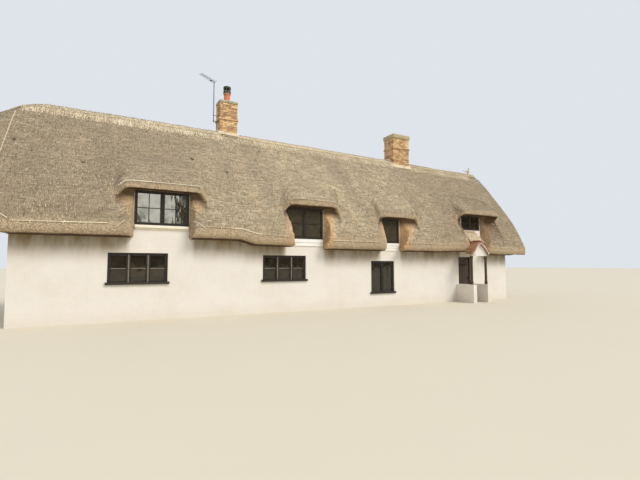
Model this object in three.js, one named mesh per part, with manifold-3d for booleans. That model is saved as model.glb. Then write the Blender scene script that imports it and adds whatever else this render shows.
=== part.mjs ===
// A long, low English cottage: rendered masonry walls under one thick thatched roof,
// with windows that look out from under brows in the thatch, two brick chimneys and a
// small tiled porch. Millimetres, +Z up. The origin is on the ground at the middle of the
// plan, +X runs along the house and -Y is the garden front.

import * as THREE from "three";
import { mergeVertices } from "three/addons/utils/BufferGeometryUtils.js";
import Module from "manifold-3d";

const wasm = await Module();
wasm.setup();

// Driving dimensions, in millimetres

const GAP = 0.3; // clearance between pieces that touch
const PAST = 50; // a cut runs this far past the faces that it opens
const BEYOND = 12000; // further than the house reaches from its origin

const HALF_LENGTH = 9590; // outer faces of the gable walls
const HALF_DEPTH = 2700; // outer faces of the long walls
const WALL = 400;
const FLOOR_TOP = 150;
const UPPER_FLOOR = { bottom: 2050, top: 2200 };

const VERGE = 10470; // ends of the thatch
const VERGE_ROUNDING = { length: 70, inwards: 30, down: 35 };
const EAVE_REACH = 3200; // furthest point of the eave from the middle of the house
const EAVE_UNDERCUT = 110;
const EAVE_FACE = 350; // height of the trimmed front of the eave
const EAVE_NOSE = { inset: 15, share: 0.7 }; // slight tuck halfway down that front
const SOFFIT = { reach: 3060, left: 2520, right: 2300 }; // thatch past the gable walls
const CAP_THICKNESS = 75; // block ridge laid over the main coat
const CAP_REACH = 430;
const CAP_LEG = 260; // depth of the ridge piece before the coat is cut out of it
const CAP_SHORT = 60; // the ridge piece stops this far inside the rounding of a verge
const BELLY = 0.115; // how far the coat swells, as a share of its rise
const RAFTER_FOOT = 3000; // underside of the thatch above the outer face of a long wall
const RAFTER_TOP = 6100; // underside of the thatch below the ridge
const RAFTER_SHOULDER = 400; // the apex is bent upwards within this reach
const UPPER_REACHES = [1100, 600, 250, 0]; // where the slope is taken above the brows
const STATION_STEP = 900; // furthest apart that sections of the roof are taken
const STATION_NEAREST = 40;

// Lower edge of the front eave along the house, as x and height
const FRONT_EAVE = [
  [-VERGE, 2390], [-3600, 2380], [-3160, 2240], [-1960, 2220], [-660, 2150],
  [4840, 2140], [6440, 2190], [8440, 2060], [VERGE, 2060],
];
const BACK_EAVE = [[-VERGE, 2300], [VERGE, 2200]];

// Top of the ridge along the house, as x and height: the right half has settled
const RIDGE_LINE = [
  [-VERGE, 6825], [-4200, 6810], [900, 6750], [4400, 6710], [8000, 6640], [VERGE, 6650],
];

// Each end of the roof dips a little towards its verge
const LEFT_HIP = { start: 9130, drop: 745 };
const RIGHT_HIP = { start: 9700, drop: 0 };
const HIP_BLEND = 260;
const COAT_AT_HIP = 350;

// Brows: the raised lips of thatch over the upper windows
const LIP_REACH = 3010; // front of a lip from the middle of the house
const LIP_THICKNESS = 220;
const LIP_TUCK = 10; // its lower edge lies this far behind its upper edge
const LIP_COVER = 5; // the thatch laps this far over the head of the frame
const TIP_DROP = 200; // how far a lip falls from its middle to its tips
const BROW_ROOT = 100; // the underside of a lip starts this far below its edge
const BROW_END = 1600; // where a brow has run back into the plain slope
const BROW_SWELL = 60;
const BROW_SPREAD = 800; // the coat round a lip swells this far past its tips
const BROW_FLAT = 1.5; // how much sooner than halfway along the coat is at its fullest
const BROW_BACK = [{ plain: 2350, raised: 2600 }, { plain: 2000, raised: 2100 }];
const LIP_PULL = { edge: 0.6, back: 0.25 }; // share of the lip's own shape in the coat over it
const ROOT_DROP = 130; // the slope is unchanged this far below the tips of a lip
const MOUTH_MARGIN = 8; // thatch stops this far from an upper window's opening
const MOUTH_EAVE = 2300; // height at which the mouth's width at the eave is taken
const POCKET = { below: 400, depth: 1000 }; // free space on the room side of a window
const UPSTAND_SIDE = 50; // wall beside an upper window, built up through the thatch
const LINTEL = 30;

// Windows. x and z are the edges of the hole in the wall, lights are side by side
const FRAME_DEPTH = 70;
const FRAME_SETBACK = { upper: 15, lower: 45 }; // from the wall's outer face
const FRAME_FACE = 55;
const MULLION = 60;
const GLASS = 6;
const GLASS_LAP = 14;
const SILL = { height: 60, projection: 55, ear: 50, below: 10, tail: 20 };

const UPPER_WINDOWS = [
  {
    name: "upper_window_1", side: -1, x: [-6695, -5150], z: [2770, 3800], lights: 2,
    lip: 3800, tips: [-7210, -4640], shoulders: [-6903, -4930],
    mouth: { eave: [-6790, -5240], sill: [-6830, -5050], lip: [-6900, -4940] },
  },
  {
    name: "upper_window_2", side: -1, x: [-1904, -440], z: [2520, 3620], lights: 2,
    lip: 3690, tips: [-2060, 270], shoulders: [-1690, -150],
    mouth: { eave: [-1730, -560], sill: [-1780, -430], lip: [-1850, -120] },
  },
  {
    name: "upper_window_3", side: -1, x: [2190, 3090], z: [2470, 3450], lights: 1,
    lip: 3480, tips: [1920, 4010], shoulders: [2000, 3690],
    mouth: { eave: [2110, 2880], sill: [2110, 3050], lip: [2100, 3690] },
  },
  {
    name: "upper_window_4", side: -1, x: [6640, 7840], z: [3170, 3840], lights: 2,
    lip: 3870, tips: [6410, 9100], shoulders: [6620, 8740],
    mouth: { eave: [6690, 7800], sill: [6450, 8500], lip: [6480, 8740] },
  },
  {
    name: "back_upper_window_1", side: 1, x: [-6650, -5150], z: [2620, 3640], lights: 2,
    lip: 3700, tips: [-7150, -4650], shoulders: [-6800, -5000],
    mouth: { eave: [-6600, -5200], sill: [-6720, -5080], lip: [-6800, -5000] },
  },
  {
    name: "back_upper_window_2", side: 1, x: [2350, 3850], z: [2570, 3590], lights: 2,
    lip: 3650, tips: [1850, 4350], shoulders: [2200, 4000],
    mouth: { eave: [2400, 3800], sill: [2280, 3920], lip: [2200, 4000] },
  },
];

const GROUND_WINDOWS = [
  { name: "lower_window_1", side: -1, x: [-7340, -5740], z: [1050, 1950], lights: 3 },
  { name: "lower_window_2", side: -1, x: [-2740, -1130], z: [1050, 1930], lights: 3 },
  { name: "lower_window_3", side: -1, x: [1690, 2820], z: [500, 1760], lights: 2 },
  { name: "back_lower_window_1", side: 1, x: [-6700, -5100], z: [1050, 1950], lights: 3 },
  { name: "back_lower_window_2", side: 1, x: [2300, 3900], z: [1050, 1950], lights: 3 },
];

// Chimneys
const LEFT_STACK = { x: [-3666, -2986], y: [-350, 200], top: 7875, skirt: 75 };
const LEFT_BAND = { bottom: 7200, height: 75, projection: 35 };
const LEFT_CAP = { edge: 90, height: 150, projection: 30, slope: 90 };
const RIGHT_STACK = { x: [4640, 5570], y: [-500, 200], top: 7710, skirt: 125 };
const RIGHT_BAND = { bottom: 7185, height: 75, projection: 30 };
const RIGHT_CAP = { edge: 185, height: 260, projection: 50, slope: 120 };
const FLUE = 230;
const POT = { foot: 140, waist: 118, rim: 134, bore: 88, height: 315, base: 50, collar: 40 };
const COWL = { radius: 145, height: 290, lid: 45, skin: 12, slots: 8 };
const FILLET = { rise: 110, edge: 18 };

// Television aerial, held on a bracket beside the left chimney
const MAST = { x: -3860, y: -150, bottom: 7100, top: 8670, radius: 16 };
const BRACKET = { heights: [7150, 7370], width: 20, depth: 30 };
const AERIAL = { length: 800, tail: 60, elements: 9, span: 300, bar: 14, rod: 10, turn: 0.62 };
const CLAMP = { width: 44, below: 30 };

// Straw bird on a post at the right end of the ridge, with its tail to the left
const BIRD = {
  x: 10275, post: 42, sunk: 200, height: 140, body: 62, breast: 95, tail: 430, tip: 12,
  neck: { ahead: 45, radius: 24 }, head: { radius: 36, top: 340 },
};

// Porch
const PORCH = {
  x: 6830, front: 3500, halfWidth: 505, apex: 2585, eave: 2110, bow: 35,
  tile: 60, verge: 90, gable: 60, tie: { depth: 120, height: 55 },
};
const POST = { width: 95, centre: 440, top: 1990 };
const DWARF_WALL = { height: 770, thickness: 200, front: 3620 };
const PORCH_CUT = { x: 6755, reach: 3215 }; // tiles stop short of the thatch beside them
const APRON = { x: [6720, 7480], reach: 3180, foot: 2640, head: 3150 }; // straw over the porch
const DOOR = {
  x: [6430, 7230], head: 1960, frame: 60, depth: 110, proud: 30, leaf: 45, setback: 90,
};

const COLOURS = {
  render: 0xebe4d7, thatch: 0xaa987d, ridge: 0xb7a68a, brick: 0xbe8259, cement: 0xa9a48f,
  mortar: 0xe6d9c4, pot: 0xd27850, cowl: 0x3b4038, aerial: 0x8d9195, oak: 0x2e2622,
  glass: 0x2a3236, tile: 0xa8583c, floor: 0x9a8f80, boards: 0xa07f58,
};

// Solids

/** Turns a geometry into a solid that can be cut and joined. */
function solid(geometry) {
  geometry.deleteAttribute("normal");
  geometry.deleteAttribute("uv");
  const merged = mergeVertices(geometry, 1e-4);
  return new wasm.Manifold(new wasm.Mesh({
    numProp: 3,
    vertProperties: Float32Array.from(merged.attributes.position.array),
    triVerts: Uint32Array.from(merged.index.array),
  }));
}

/** Turns a solid back into a geometry. */
function geometryOf(body) {
  const mesh = body.getMesh();
  const geometry = new THREE.BufferGeometry();
  geometry.setAttribute("position", new THREE.BufferAttribute(mesh.vertProperties, 3));
  geometry.setIndex(new THREE.BufferAttribute(mesh.triVerts, 1));
  return geometry;
}

/** An upright block between two corners, each given as a [low, high] pair. */
function block([x0, x1], [y0, y1], [z0, z1]) {
  const geometry = new THREE.BoxGeometry(x1 - x0, y1 - y0, z1 - z0);
  geometry.translate((x0 + x1) / 2, (y0 + y1) / 2, (z0 + z1) / 2);
  return solid(geometry);
}

/** The [low, high] pair for a slab that lies between two distances on one side of the house. */
function across(side, near, far) {
  return side < 0 ? [-far, -near] : [near, far];
}

/** A [low, high] pair made wider at both ends. */
function widened([low, high], by) {
  return [low - by, high + by];
}

/** A closed skin through rings of the same number of points, capped at both ends. */
function loft(rings) {
  const count = rings[0].length;
  const index = [];
  for (let i = 0; i + 1 < rings.length; i += 1) {
    for (let j = 0; j < count; j += 1) {
      const k = (j + 1) % count;
      const [a, b] = [i * count + j, i * count + k];
      const [c, d] = [(i + 1) * count + k, (i + 1) * count + j];
      index.push(a, b, c, a, c, d);
    }
  }
  const last = (rings.length - 1) * count;
  for (const [a, b, c] of capTriangles(rings[0])) index.push(c, b, a);
  for (const [a, b, c] of capTriangles(rings[rings.length - 1])) {
    index.push(last + a, last + b, last + c);
  }
  return skin(rings.flat(), index);
}

/** Triangles that fill a ring that is flat, or nearly level, turned the same way as the ring. */
function capTriangles(ring) {
  const { area, triangulateShape } = THREE.ShapeUtils;
  const level = ["x", "y"].find((axis) => ring.every((point) => point[axis] === ring[0][axis]));
  const [u, v] = { x: ["y", "z"], y: ["z", "x"] }[level] ?? ["x", "y"];
  const flat = ring.map((point) => new THREE.Vector2(point[u], point[v]));
  const turn = Math.sign(area(flat));
  return triangulateShape(flat, []).map(([a, b, c]) =>
    (Math.sign(area([flat[a], flat[b], flat[c]])) === turn ? [a, b, c] : [a, c, b]));
}

/** A solid from points and triangles, with its faces turned outwards. */
function skin(points, index) {
  let volume = 0;
  const edge = new THREE.Vector3();
  for (let i = 0; i < index.length; i += 3) {
    edge.crossVectors(points[index[i + 1]], points[index[i + 2]]);
    volume += points[index[i]].dot(edge);
  }
  const geometry = new THREE.BufferGeometry().setFromPoints(points);
  geometry.setIndex(volume > 0 ? index : index.reverse());
  return solid(geometry);
}

/** A section in y and z, pushed along the house between two x values. */
function alongHouse(points, faces) {
  return loft(faces.map((x) => points.map(([y, z]) => new THREE.Vector3(x, y, z))));
}

/** A section in x and z, pushed across the house between two y values. */
function acrossHouse(points, faces) {
  return loft(faces.map((y) => points.map(([x, z]) => new THREE.Vector3(x, y, z))));
}

/** A turned solid standing on a point, from a profile of [radius, height] pairs. */
function turned(profile, [x, y, z], segments = 20) {
  const points = profile.map(([radius, height]) => new THREE.Vector2(radius, height));
  const geometry = new THREE.LatheGeometry(points, segments);
  geometry.rotateX(Math.PI / 2);
  geometry.translate(x, y, z);
  return solid(geometry);
}

// Roof surface

/** Straight-line value between listed points. */
function alongRun(points, x) {
  for (let i = 1; i < points.length; i += 1) {
    const [x0, z0] = points[i - 1];
    const [x1, z1] = points[i];
    if (x <= x1) return z0 + ((z1 - z0) * (x - x0)) / (x1 - x0);
  }
  return points[points.length - 1][1];
}

/** The lower of two values, with the corner between them eased. */
function eased(a, b, width) {
  const near = Math.max(width - Math.abs(a - b), 0) / width;
  return Math.min(a, b) - (near * near * width) / 4;
}

/** Height of the top of the eave's face. */
function faceTop(side, x) {
  return alongRun(side < 0 ? FRONT_EAVE : BACK_EAVE, x) + EAVE_FACE;
}

/** Height of the top of the main coat, under the ridge piece. */
function coatTop(x) {
  return alongRun(RIDGE_LINE, x) - CAP_THICKNESS;
}

/** Height of the swelling slope at x and at a distance from the middle of the house. */
function slopeHeight(side, x, reach) {
  const face = faceTop(side, x);
  const up = 1 - reach / EAVE_REACH;
  const share = up + BELLY * (1 - (2 * up - 1) ** 4);
  return face + (coatTop(x) - face) * share;
}

/** Distance from the middle of the house at which the slope at x passes a height. */
function reachAt(side, x, height) {
  let [near, far] = [0, EAVE_REACH];
  while (far - near > 1) {
    const middle = (near + far) / 2;
    if (slopeHeight(side, x, middle) > height) near = middle;
    else far = middle;
  }
  return near;
}

/** Highest that the coat may stand near the two ends of the roof. */
function hipHeight(x) {
  const hip = x < 0 ? LEFT_HIP : RIGHT_HIP;
  const along = (Math.abs(x) - hip.start) / (VERGE - hip.start);
  if (along <= 0) return Infinity;
  return coatTop(x) + HIP_BLEND - (HIP_BLEND + hip.drop) * along;
}

/** Height of the lips at x, run on between the windows so that the skin stays even. */
function lipHeight(side, x) {
  const brows = UPPER_WINDOWS.filter((window) => window.side === side);
  const run = brows.flatMap(({ tips, lip }) => [[tips[0], lip], [tips[1], lip]]);
  return alongRun([[-VERGE, run[0][1]], ...run, [VERGE, run[run.length - 1][1]]], x);
}

/** The window whose brow reaches x, with its tips taken further out by a spread. */
function browAt(side, x, spread) {
  return UPPER_WINDOWS.find(
    ({ side: own, tips }) => own === side && x > tips[0] - spread && x < tips[1] + spread,
  );
}

/** How fully a lip is raised at x, from 0 at its tips to 1 between its shoulders. */
function lipShare(side, x) {
  const brow = browAt(side, x, 0);
  if (!brow) return 0;
  const { tips, shoulders } = brow;
  const rise = Math.min(
    (x - tips[0]) / (shoulders[0] - tips[0]),
    (tips[1] - x) / (tips[1] - shoulders[1]),
    1,
  );
  return 1 - (1 - rise) ** 2;
}

/** How fully the coat round a lip is swollen at x: fully over the window, and easing out. */
function swellShare(side, x) {
  const brow = browAt(side, x, BROW_SPREAD);
  if (!brow) return 0;
  const [low, high] = widened(brow.tips, BROW_SPREAD);
  const rise = Math.min(1, BROW_FLAT * (1 - Math.abs((2 * x - low - high) / (high - low))));
  return rise * rise * (3 - 2 * rise);
}

/** Outer line of one slope at x, from under the eave to the ridge, as [reach, height]. */
function slopeLine(side, x) {
  const face = faceTop(side, x);
  const lip = lipHeight(side, x);
  const lipPart = lipShare(side, x);
  const swellPart = swellShare(side, x);
  const onSlope = (reach) => [reach, slopeHeight(side, x, reach)];
  const atHeight = (height) => [reachAt(side, x, height), height];
  const root = atHeight(lip - TIP_DROP - ROOT_DROP);
  const crownOf = (reach) => {
    const back = (LIP_REACH - reach) / (LIP_REACH - BROW_END);
    const low = lip + LIP_THICKNESS;
    const swell = BROW_SWELL * Math.sin(Math.PI * back);
    return [reach, low + (slopeHeight(side, x, BROW_END) - low) * back + swell];
  };
  const [front, back] = BROW_BACK;
  const pulled = (pull) => swellPart + (lipPart - swellPart) * pull;
  const pairs = [
    [root, atHeight(lip - BROW_ROOT), lipPart],
    [atHeight(lip - TIP_DROP), [LIP_REACH - LIP_TUCK, lip], lipPart],
    [atHeight(lip), [LIP_REACH, lip + LIP_THICKNESS], pulled(LIP_PULL.edge)],
    [onSlope(front.plain), crownOf(front.raised), pulled(LIP_PULL.back)],
    [onSlope(back.plain), crownOf(back.raised), swellPart],
  ];
  const raised = pairs.map(([plain, brow, share]) => [
    plain[0] + (brow[0] - plain[0]) * share,
    plain[1] + (brow[1] - plain[1]) * share,
  ]);
  const low = onSlope((EAVE_REACH + root[0]) / 2);
  const line = [
    [EAVE_REACH - EAVE_UNDERCUT, face - EAVE_FACE],
    [EAVE_REACH - EAVE_NOSE.inset, face - EAVE_FACE * EAVE_NOSE.share],
    onSlope(EAVE_REACH),
    low,
    ...raised,
    ...[BROW_END, ...UPPER_REACHES].map(onSlope),
  ];
  return line.map(([reach, height]) => dipped(x, reach, height));
}

/** A point of the outer line with the dip and rounding of the roof's ends. */
function dipped(x, reach, height) {
  const limit = hipHeight(x);
  const lowered = Number.isFinite(limit) ? eased(height, limit, HIP_BLEND) : height;
  const { length, inwards, down } = VERGE_ROUNDING;
  const round = Math.max(0, Math.abs(x) - (VERGE - length)) / length;
  return [Math.max(0, reach - inwards * round), lowered - down * round];
}

/** The x values at which the roof's section is taken. */
function stations() {
  const rounded = VERGE - VERGE_ROUNDING.length;
  const marks = new Set([-VERGE, VERGE, -rounded, rounded]);
  for (const [x] of [...FRONT_EAVE, ...RIDGE_LINE]) marks.add(x);
  for (const { tips, shoulders } of UPPER_WINDOWS) {
    for (const share of [0, 0.25, 0.5, 0.75, 1]) {
      marks.add(tips[0] + (shoulders[0] - tips[0]) * share);
      marks.add(tips[1] + (shoulders[1] - tips[1]) * share);
    }
    marks.add((shoulders[0] + shoulders[1]) / 2);
    for (const x of [...widened(tips, BROW_SPREAD), ...widened(tips, BROW_SPREAD / 2)]) marks.add(x);
  }
  for (const hip of [-LEFT_HIP.start, RIGHT_HIP.start]) {
    for (const share of [0, 0.25, 0.5, 0.75]) {
      marks.add(hip + (Math.sign(hip) * VERGE - hip) * share);
    }
  }
  const listed = [...marks].sort((a, b) => a - b);
  const filled = [listed[0]];
  for (const x of listed.slice(1)) {
    const from = filled[filled.length - 1];
    if (x - from < STATION_NEAREST) continue;
    const steps = Math.ceil((x - from) / STATION_STEP);
    for (let i = 1; i <= steps; i += 1) filled.push(from + ((x - from) * i) / steps);
  }
  filled[filled.length - 1] = VERGE;
  return filled;
}

const STATIONS = stations();

/** Everything under the outer skin of the thatch. */
function roofMass() {
  return loft(STATIONS.map((x) => {
    const front = slopeLine(-1, x).map(([reach, z]) => new THREE.Vector3(x, -reach, z));
    const back = slopeLine(1, x).map(([reach, z]) => new THREE.Vector3(x, reach, z));
    return [...front.slice(0, -1), ...back.reverse()];
  }));
}

/**
 * Everything under the skin of one slope, up to a small clearance from the ridge line. Its
 * rings run the same way round as those of the whole roof, so both have the same facets.
 */
function slopeMass(side) {
  const inner = GAP / 2;
  return loft(STATIONS.map((x) => {
    const line = slopeLine(side, x).map(([reach, z]) => [Math.max(reach, inner), z]);
    const ring = [...line, [inner, line[0][1]]]
      .map(([reach, z]) => new THREE.Vector3(x, side * reach, z));
    return side < 0 ? ring : ring.reverse();
  }));
}

/** Everything under the rafters, which the thatch lies on, and beside the walls below it. */
function spaceUnderThatch() {
  const slopeIn = (reach) => RAFTER_TOP - ((RAFTER_TOP - RAFTER_FOOT) * reach) / HALF_DEPTH;
  const half = HALF_DEPTH + GAP;
  const shoulder = [RAFTER_SHOULDER, slopeIn(RAFTER_SHOULDER)];
  const ring = (x, reach, corner, apex) => {
    const line = [[reach, 0], [reach, corner], [half, RAFTER_FOOT], shoulder];
    const front = line.map(([out, z]) => [-out, z]);
    return [...front, [0, apex], ...line.reverse()].map(([y, z]) => new THREE.Vector3(x, y, z));
  };
  const past = VERGE + PAST;
  const apexOf = (hip, x) => Math.min(RAFTER_TOP, coatTop(x) - hip.drop - COAT_AT_HIP);
  const [inner, outer] = [HALF_LENGTH + PAST / 2, HALF_LENGTH + PAST];
  const plate = RAFTER_FOOT - PAST;
  return loft([
    ring(-past, SOFFIT.reach, SOFFIT.left, apexOf(LEFT_HIP, -past)),
    ring(-outer, SOFFIT.reach, SOFFIT.left, RAFTER_TOP),
    ring(-inner, half, plate, RAFTER_TOP),
    ring(inner, half, plate, RAFTER_TOP),
    ring(outer, SOFFIT.reach, SOFFIT.right, RAFTER_TOP),
    ring(past, SOFFIT.reach, SOFFIT.right, apexOf(RIGHT_HIP, past)),
  ]);
}

/** The open mouth below a brow, from the wall's face out through the eave. */
function browMouth({ side, x: sides, z, lip, mouth }) {
  const near = HALF_DEPTH - 1;
  const far = EAVE_REACH + PAST;
  const spread = (far - near) / (EAVE_REACH - near);
  const head = z[1] - LIP_COVER;
  const farHead = head + ((lip - z[1]) * (far - near)) / (LIP_REACH - near);
  const wall = widened(sides, MOUTH_MARGIN);
  const taken = ([low, high]) => [
    wall[0] + (low - wall[0]) * spread,
    wall[1] + (high - wall[1]) * spread,
  ];
  const ring = (reach, eave, sill, top, height) => [
    [eave[0], 0], [eave[1], 0], [eave[1], MOUTH_EAVE], [sill[1], z[0]],
    [top[1], height], [top[0], height], [sill[0], z[0]], [eave[0], MOUTH_EAVE],
  ].map(([x, level]) => new THREE.Vector3(x, side * reach, level));
  return loft([
    ring(near, wall, wall, wall, head),
    ring(far, taken(mouth.eave), taken(mouth.sill), taken(mouth.lip), farHead),
  ]);
}

/** Where the wall beside and over an upper window is built up into the thatch. */
function upstand({ side, x, z }, clearance) {
  return block(
    widened(x, UPSTAND_SIDE + clearance),
    across(side, HALF_DEPTH - WALL - clearance, HALF_DEPTH + clearance),
    [RAFTER_FOOT - POCKET.below, z[1] + LINTEL + clearance],
  );
}

/** The room side of an upper window, open through the thatch to the attic. */
function windowPocket({ side, x, z }) {
  return block(
    widened(x, UPSTAND_SIDE + GAP),
    across(side, HALF_DEPTH - POCKET.depth, HALF_DEPTH + GAP),
    [RAFTER_FOOT - POCKET.below, z[1] + LINTEL + GAP],
  );
}

/** A chimney's shaft, grown by a clearance, from the ground to well above the roof. */
function shaft(stack, clearance) {
  return block(widened(stack.x, clearance), widened(stack.y, clearance), [0, BEYOND]);
}

/** One slope of thatch, with its brows and the holes that chimneys and windows make in it. */
function thatch(side, under) {
  let coat = slopeMass(side).subtract(under);
  for (const window of UPPER_WINDOWS.filter((item) => item.side === side)) {
    coat = coat.subtract(browMouth(window)).subtract(windowPocket(window));
  }
  for (const stack of [LEFT_STACK, RIGHT_STACK]) coat = coat.subtract(shaft(stack, GAP));
  return coat;
}

/** The block ridge as a saddle over both slopes, grown by a clearance. */
function saddle(clearance) {
  const half = CAP_REACH + clearance;
  const reaches = [half, ...UPPER_REACHES.slice(-2)];
  const topAt = (side, x, reach) => {
    const line = slopeLine(side, x).slice(-4).map(([out, height]) => [-out, height]);
    return alongRun(line, -reach) + CAP_THICKNESS + clearance;
  };
  const ringAt = (x) => {
    const front = reaches.map((reach) => [-reach, topAt(-1, x, reach)]);
    const back = reaches.slice(0, -1).map((reach) => [reach, topAt(1, x, reach)]).reverse();
    const top = [...front, ...back];
    const bottom = [[half, top[4][1] - CAP_LEG], [-half, top[0][1] - CAP_LEG]];
    return [...top, ...bottom].map(([y, z]) => new THREE.Vector3(x, y, z));
  };
  const ends = VERGE - VERGE_ROUNDING.length - CAP_SHORT + clearance;
  const inner = STATIONS.filter((x) => Math.abs(x) < ends - STATION_NEAREST);
  return loft([-ends, ...inner, ends].map(ringAt));
}

/** The ridge piece itself, seated on the thatch and cut round the chimneys. */
function ridgeCap(mass) {
  let cap = saddle(0).subtract(mass.translate([0, 0, GAP]));
  for (const stack of [LEFT_STACK, RIGHT_STACK]) cap = cap.subtract(shaft(stack, GAP));
  return cap;
}

// Walls

/** A long wall, cut to the rafters, with its upstands and its openings. */
function longWall(side, openings) {
  const inner = HALF_DEPTH - WALL;
  const rise = (RAFTER_TOP - RAFTER_FOOT) / HALF_DEPTH;
  const section = [
    [HALF_DEPTH, 0], [HALF_DEPTH, RAFTER_FOOT - GAP],
    [inner, RAFTER_FOOT + rise * WALL - 2 * GAP], [inner, 0],
  ].map(([reach, z]) => [side * reach, z]);
  let wall = alongHouse(section, [-HALF_LENGTH, HALF_LENGTH]);
  for (const window of UPPER_WINDOWS.filter((item) => item.side === side)) {
    wall = wall.add(upstand(window, 0));
  }
  for (const opening of openings.filter((item) => item.side === side)) {
    wall = wall.subtract(block(
      opening.x,
      across(side, inner - PAST, HALF_DEPTH + PAST),
      opening.z,
    ));
  }
  return wall;
}

/** A gable wall between the long walls, up to the rafters. */
function gableWall(end) {
  const half = HALF_DEPTH - WALL - GAP;
  const rise = (RAFTER_TOP - RAFTER_FOOT) / HALF_DEPTH;
  const top = (reach) => RAFTER_TOP - rise * reach - 2 * GAP;
  const section = [[-half, 0], [half, 0], [half, top(half)], [0, top(0)], [-half, top(half)]];
  return alongHouse(section, [end * (HALF_LENGTH - WALL), end * HALF_LENGTH]);
}

/** A floor inside the walls, cut round the chimney shafts when they pass through it. */
function floor([bottom, top], stacks) {
  const x = HALF_LENGTH - WALL - GAP;
  const y = HALF_DEPTH - WALL - GAP;
  let slab = block([-x, x], [-y, y], [bottom, top]);
  for (const stack of stacks) slab = slab.subtract(shaft(stack, GAP));
  return slab;
}

// Windows and door

/** How far out a frame's face lies: nearer the wall's face where thatch frames the window. */
function frameFace({ lip }) {
  return HALF_DEPTH - (lip ? FRAME_SETBACK.upper : FRAME_SETBACK.lower);
}

/** A window frame with one or more lights, and a rebate behind them for the glass. */
function windowFrame(window) {
  const { side, x, z, lights } = window;
  const outerX = widened(x, -GAP);
  const outerZ = widened(z, -GAP);
  const clearX = widened(outerX, -FRAME_FACE);
  const clearZ = widened(outerZ, -FRAME_FACE);
  const face = frameFace(window);
  const back = face - FRAME_DEPTH;
  const width = (clearX[1] - clearX[0] - MULLION * (lights - 1)) / lights;
  let frame = block(outerX, across(side, back, face), outerZ);
  for (let i = 0; i < lights; i += 1) {
    const left = clearX[0] + i * (width + MULLION);
    const through = across(side, back - PAST, face + PAST);
    frame = frame.subtract(block([left, left + width], through, clearZ));
  }
  return frame.subtract(block(
    widened(clearX, GLASS_LAP),
    across(side, back - PAST, face - FRAME_DEPTH / 2),
    widened(clearZ, GLASS_LAP),
  ));
}

/** The sill of a lower window, with ears that run past the opening. */
function windowSill(window) {
  const { side, x, z } = window;
  const board = block(
    widened(x, SILL.ear),
    across(side, HALF_DEPTH + GAP, HALF_DEPTH + SILL.projection),
    [z[0] - SILL.below, z[0] + SILL.height],
  );
  return board.add(block(
    widened(x, -GAP),
    across(side, frameFace(window) - SILL.tail, HALF_DEPTH + SILL.projection),
    [z[0] + GAP, z[0] + SILL.height],
  ));
}

/** The sheet of glass behind a window's lights. */
function windowGlass(window) {
  const { side, x, z } = window;
  const face = frameFace(window) - FRAME_DEPTH / 2 - GAP;
  const lap = FRAME_FACE - GLASS_LAP + 2 * GAP;
  return block(widened(x, -lap), across(side, face - GLASS, face), widened(z, -lap));
}

const DOOR_OPENING = { name: "doorway", side: -1, x: DOOR.x, z: [FLOOR_TOP, DOOR.head] };

/** The three-sided frame round the door. */
function doorFrame() {
  const face = HALF_DEPTH - DOOR.setback + DOOR.proud;
  const depth = across(-1, face - DOOR.depth, face);
  const outer = block(widened(DOOR.x, -GAP), depth, [FLOOR_TOP + GAP, DOOR.head - GAP]);
  const hole = block(
    widened(DOOR.x, -DOOR.frame),
    widened(depth, PAST),
    [0, DOOR.head - DOOR.frame],
  );
  return outer.subtract(hole);
}

/** The plank door, shut in its frame. */
function doorLeaf() {
  const face = HALF_DEPTH - DOOR.setback;
  return block(
    widened(DOOR.x, -DOOR.frame - GAP),
    across(-1, face - DOOR.leaf, face),
    [FLOOR_TOP + GAP, DOOR.head - DOOR.frame - GAP],
  );
}

// Chimneys

/** A brick stack with a projecting band, an oversailing top course and an open flue. */
function brickStack(stack, band) {
  const middle = [(stack.x[0] + stack.x[1]) / 2, (stack.y[0] + stack.y[1]) / 2];
  const flue = middle.map((value) => [value - FLUE / 2, value + FLUE / 2]);
  return block(stack.x, stack.y, [FLOOR_TOP + GAP, stack.top])
    .add(block(
      widened(stack.x, band.projection),
      widened(stack.y, band.projection),
      [band.bottom, band.bottom + band.height],
    ))
    .subtract(block(flue[0], flue[1], [0, BEYOND]));
}

/** A stack's plan, grown outwards, at the height that each of its points is given. */
function planRing(stack, grow, heightAt) {
  const [x0, x1] = widened(stack.x, grow);
  const [y0, y1] = widened(stack.y, grow);
  const steps = 5;
  const alongSide = Array.from({ length: steps + 1 }, (_, i) => y0 + ((y1 - y0) * i) / steps);
  const right = alongSide.map((y) => [x1, y]);
  const left = alongSide.map((y) => [x0, y]).reverse();
  return [...right, ...left].map(([x, y]) => new THREE.Vector3(x, y, heightAt(x, y)));
}

/** The weathered cement slab on top of a stack. */
function stackCap(stack, cap, bore) {
  const foot = stack.top + GAP;
  const middle = [(stack.x[0] + stack.x[1]) / 2, (stack.y[0] + stack.y[1]) / 2];
  const slab = loft([
    planRing(stack, cap.projection, () => foot),
    planRing(stack, cap.projection, () => foot + cap.edge),
    planRing(stack, -cap.slope, () => foot + cap.height),
  ]);
  if (!bore) return slab;
  const high = cap.height + PAST;
  return slab.subtract(turned([[0, -PAST], [bore, -PAST], [bore, high], [0, high]], [...middle, foot]));
}

/** The clay pot of the left chimney, open through the middle. */
function chimneyPot([x, y, z]) {
  const { foot, waist, rim, bore, height, base, collar } = POT;
  return turned([
    [bore, 0], [foot, 0], [foot, base], [waist, base + collar], [waist, height - base],
    [rim, height - collar], [rim, height], [bore, height], [bore, 0],
  ], [x, y, z]);
}

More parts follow.
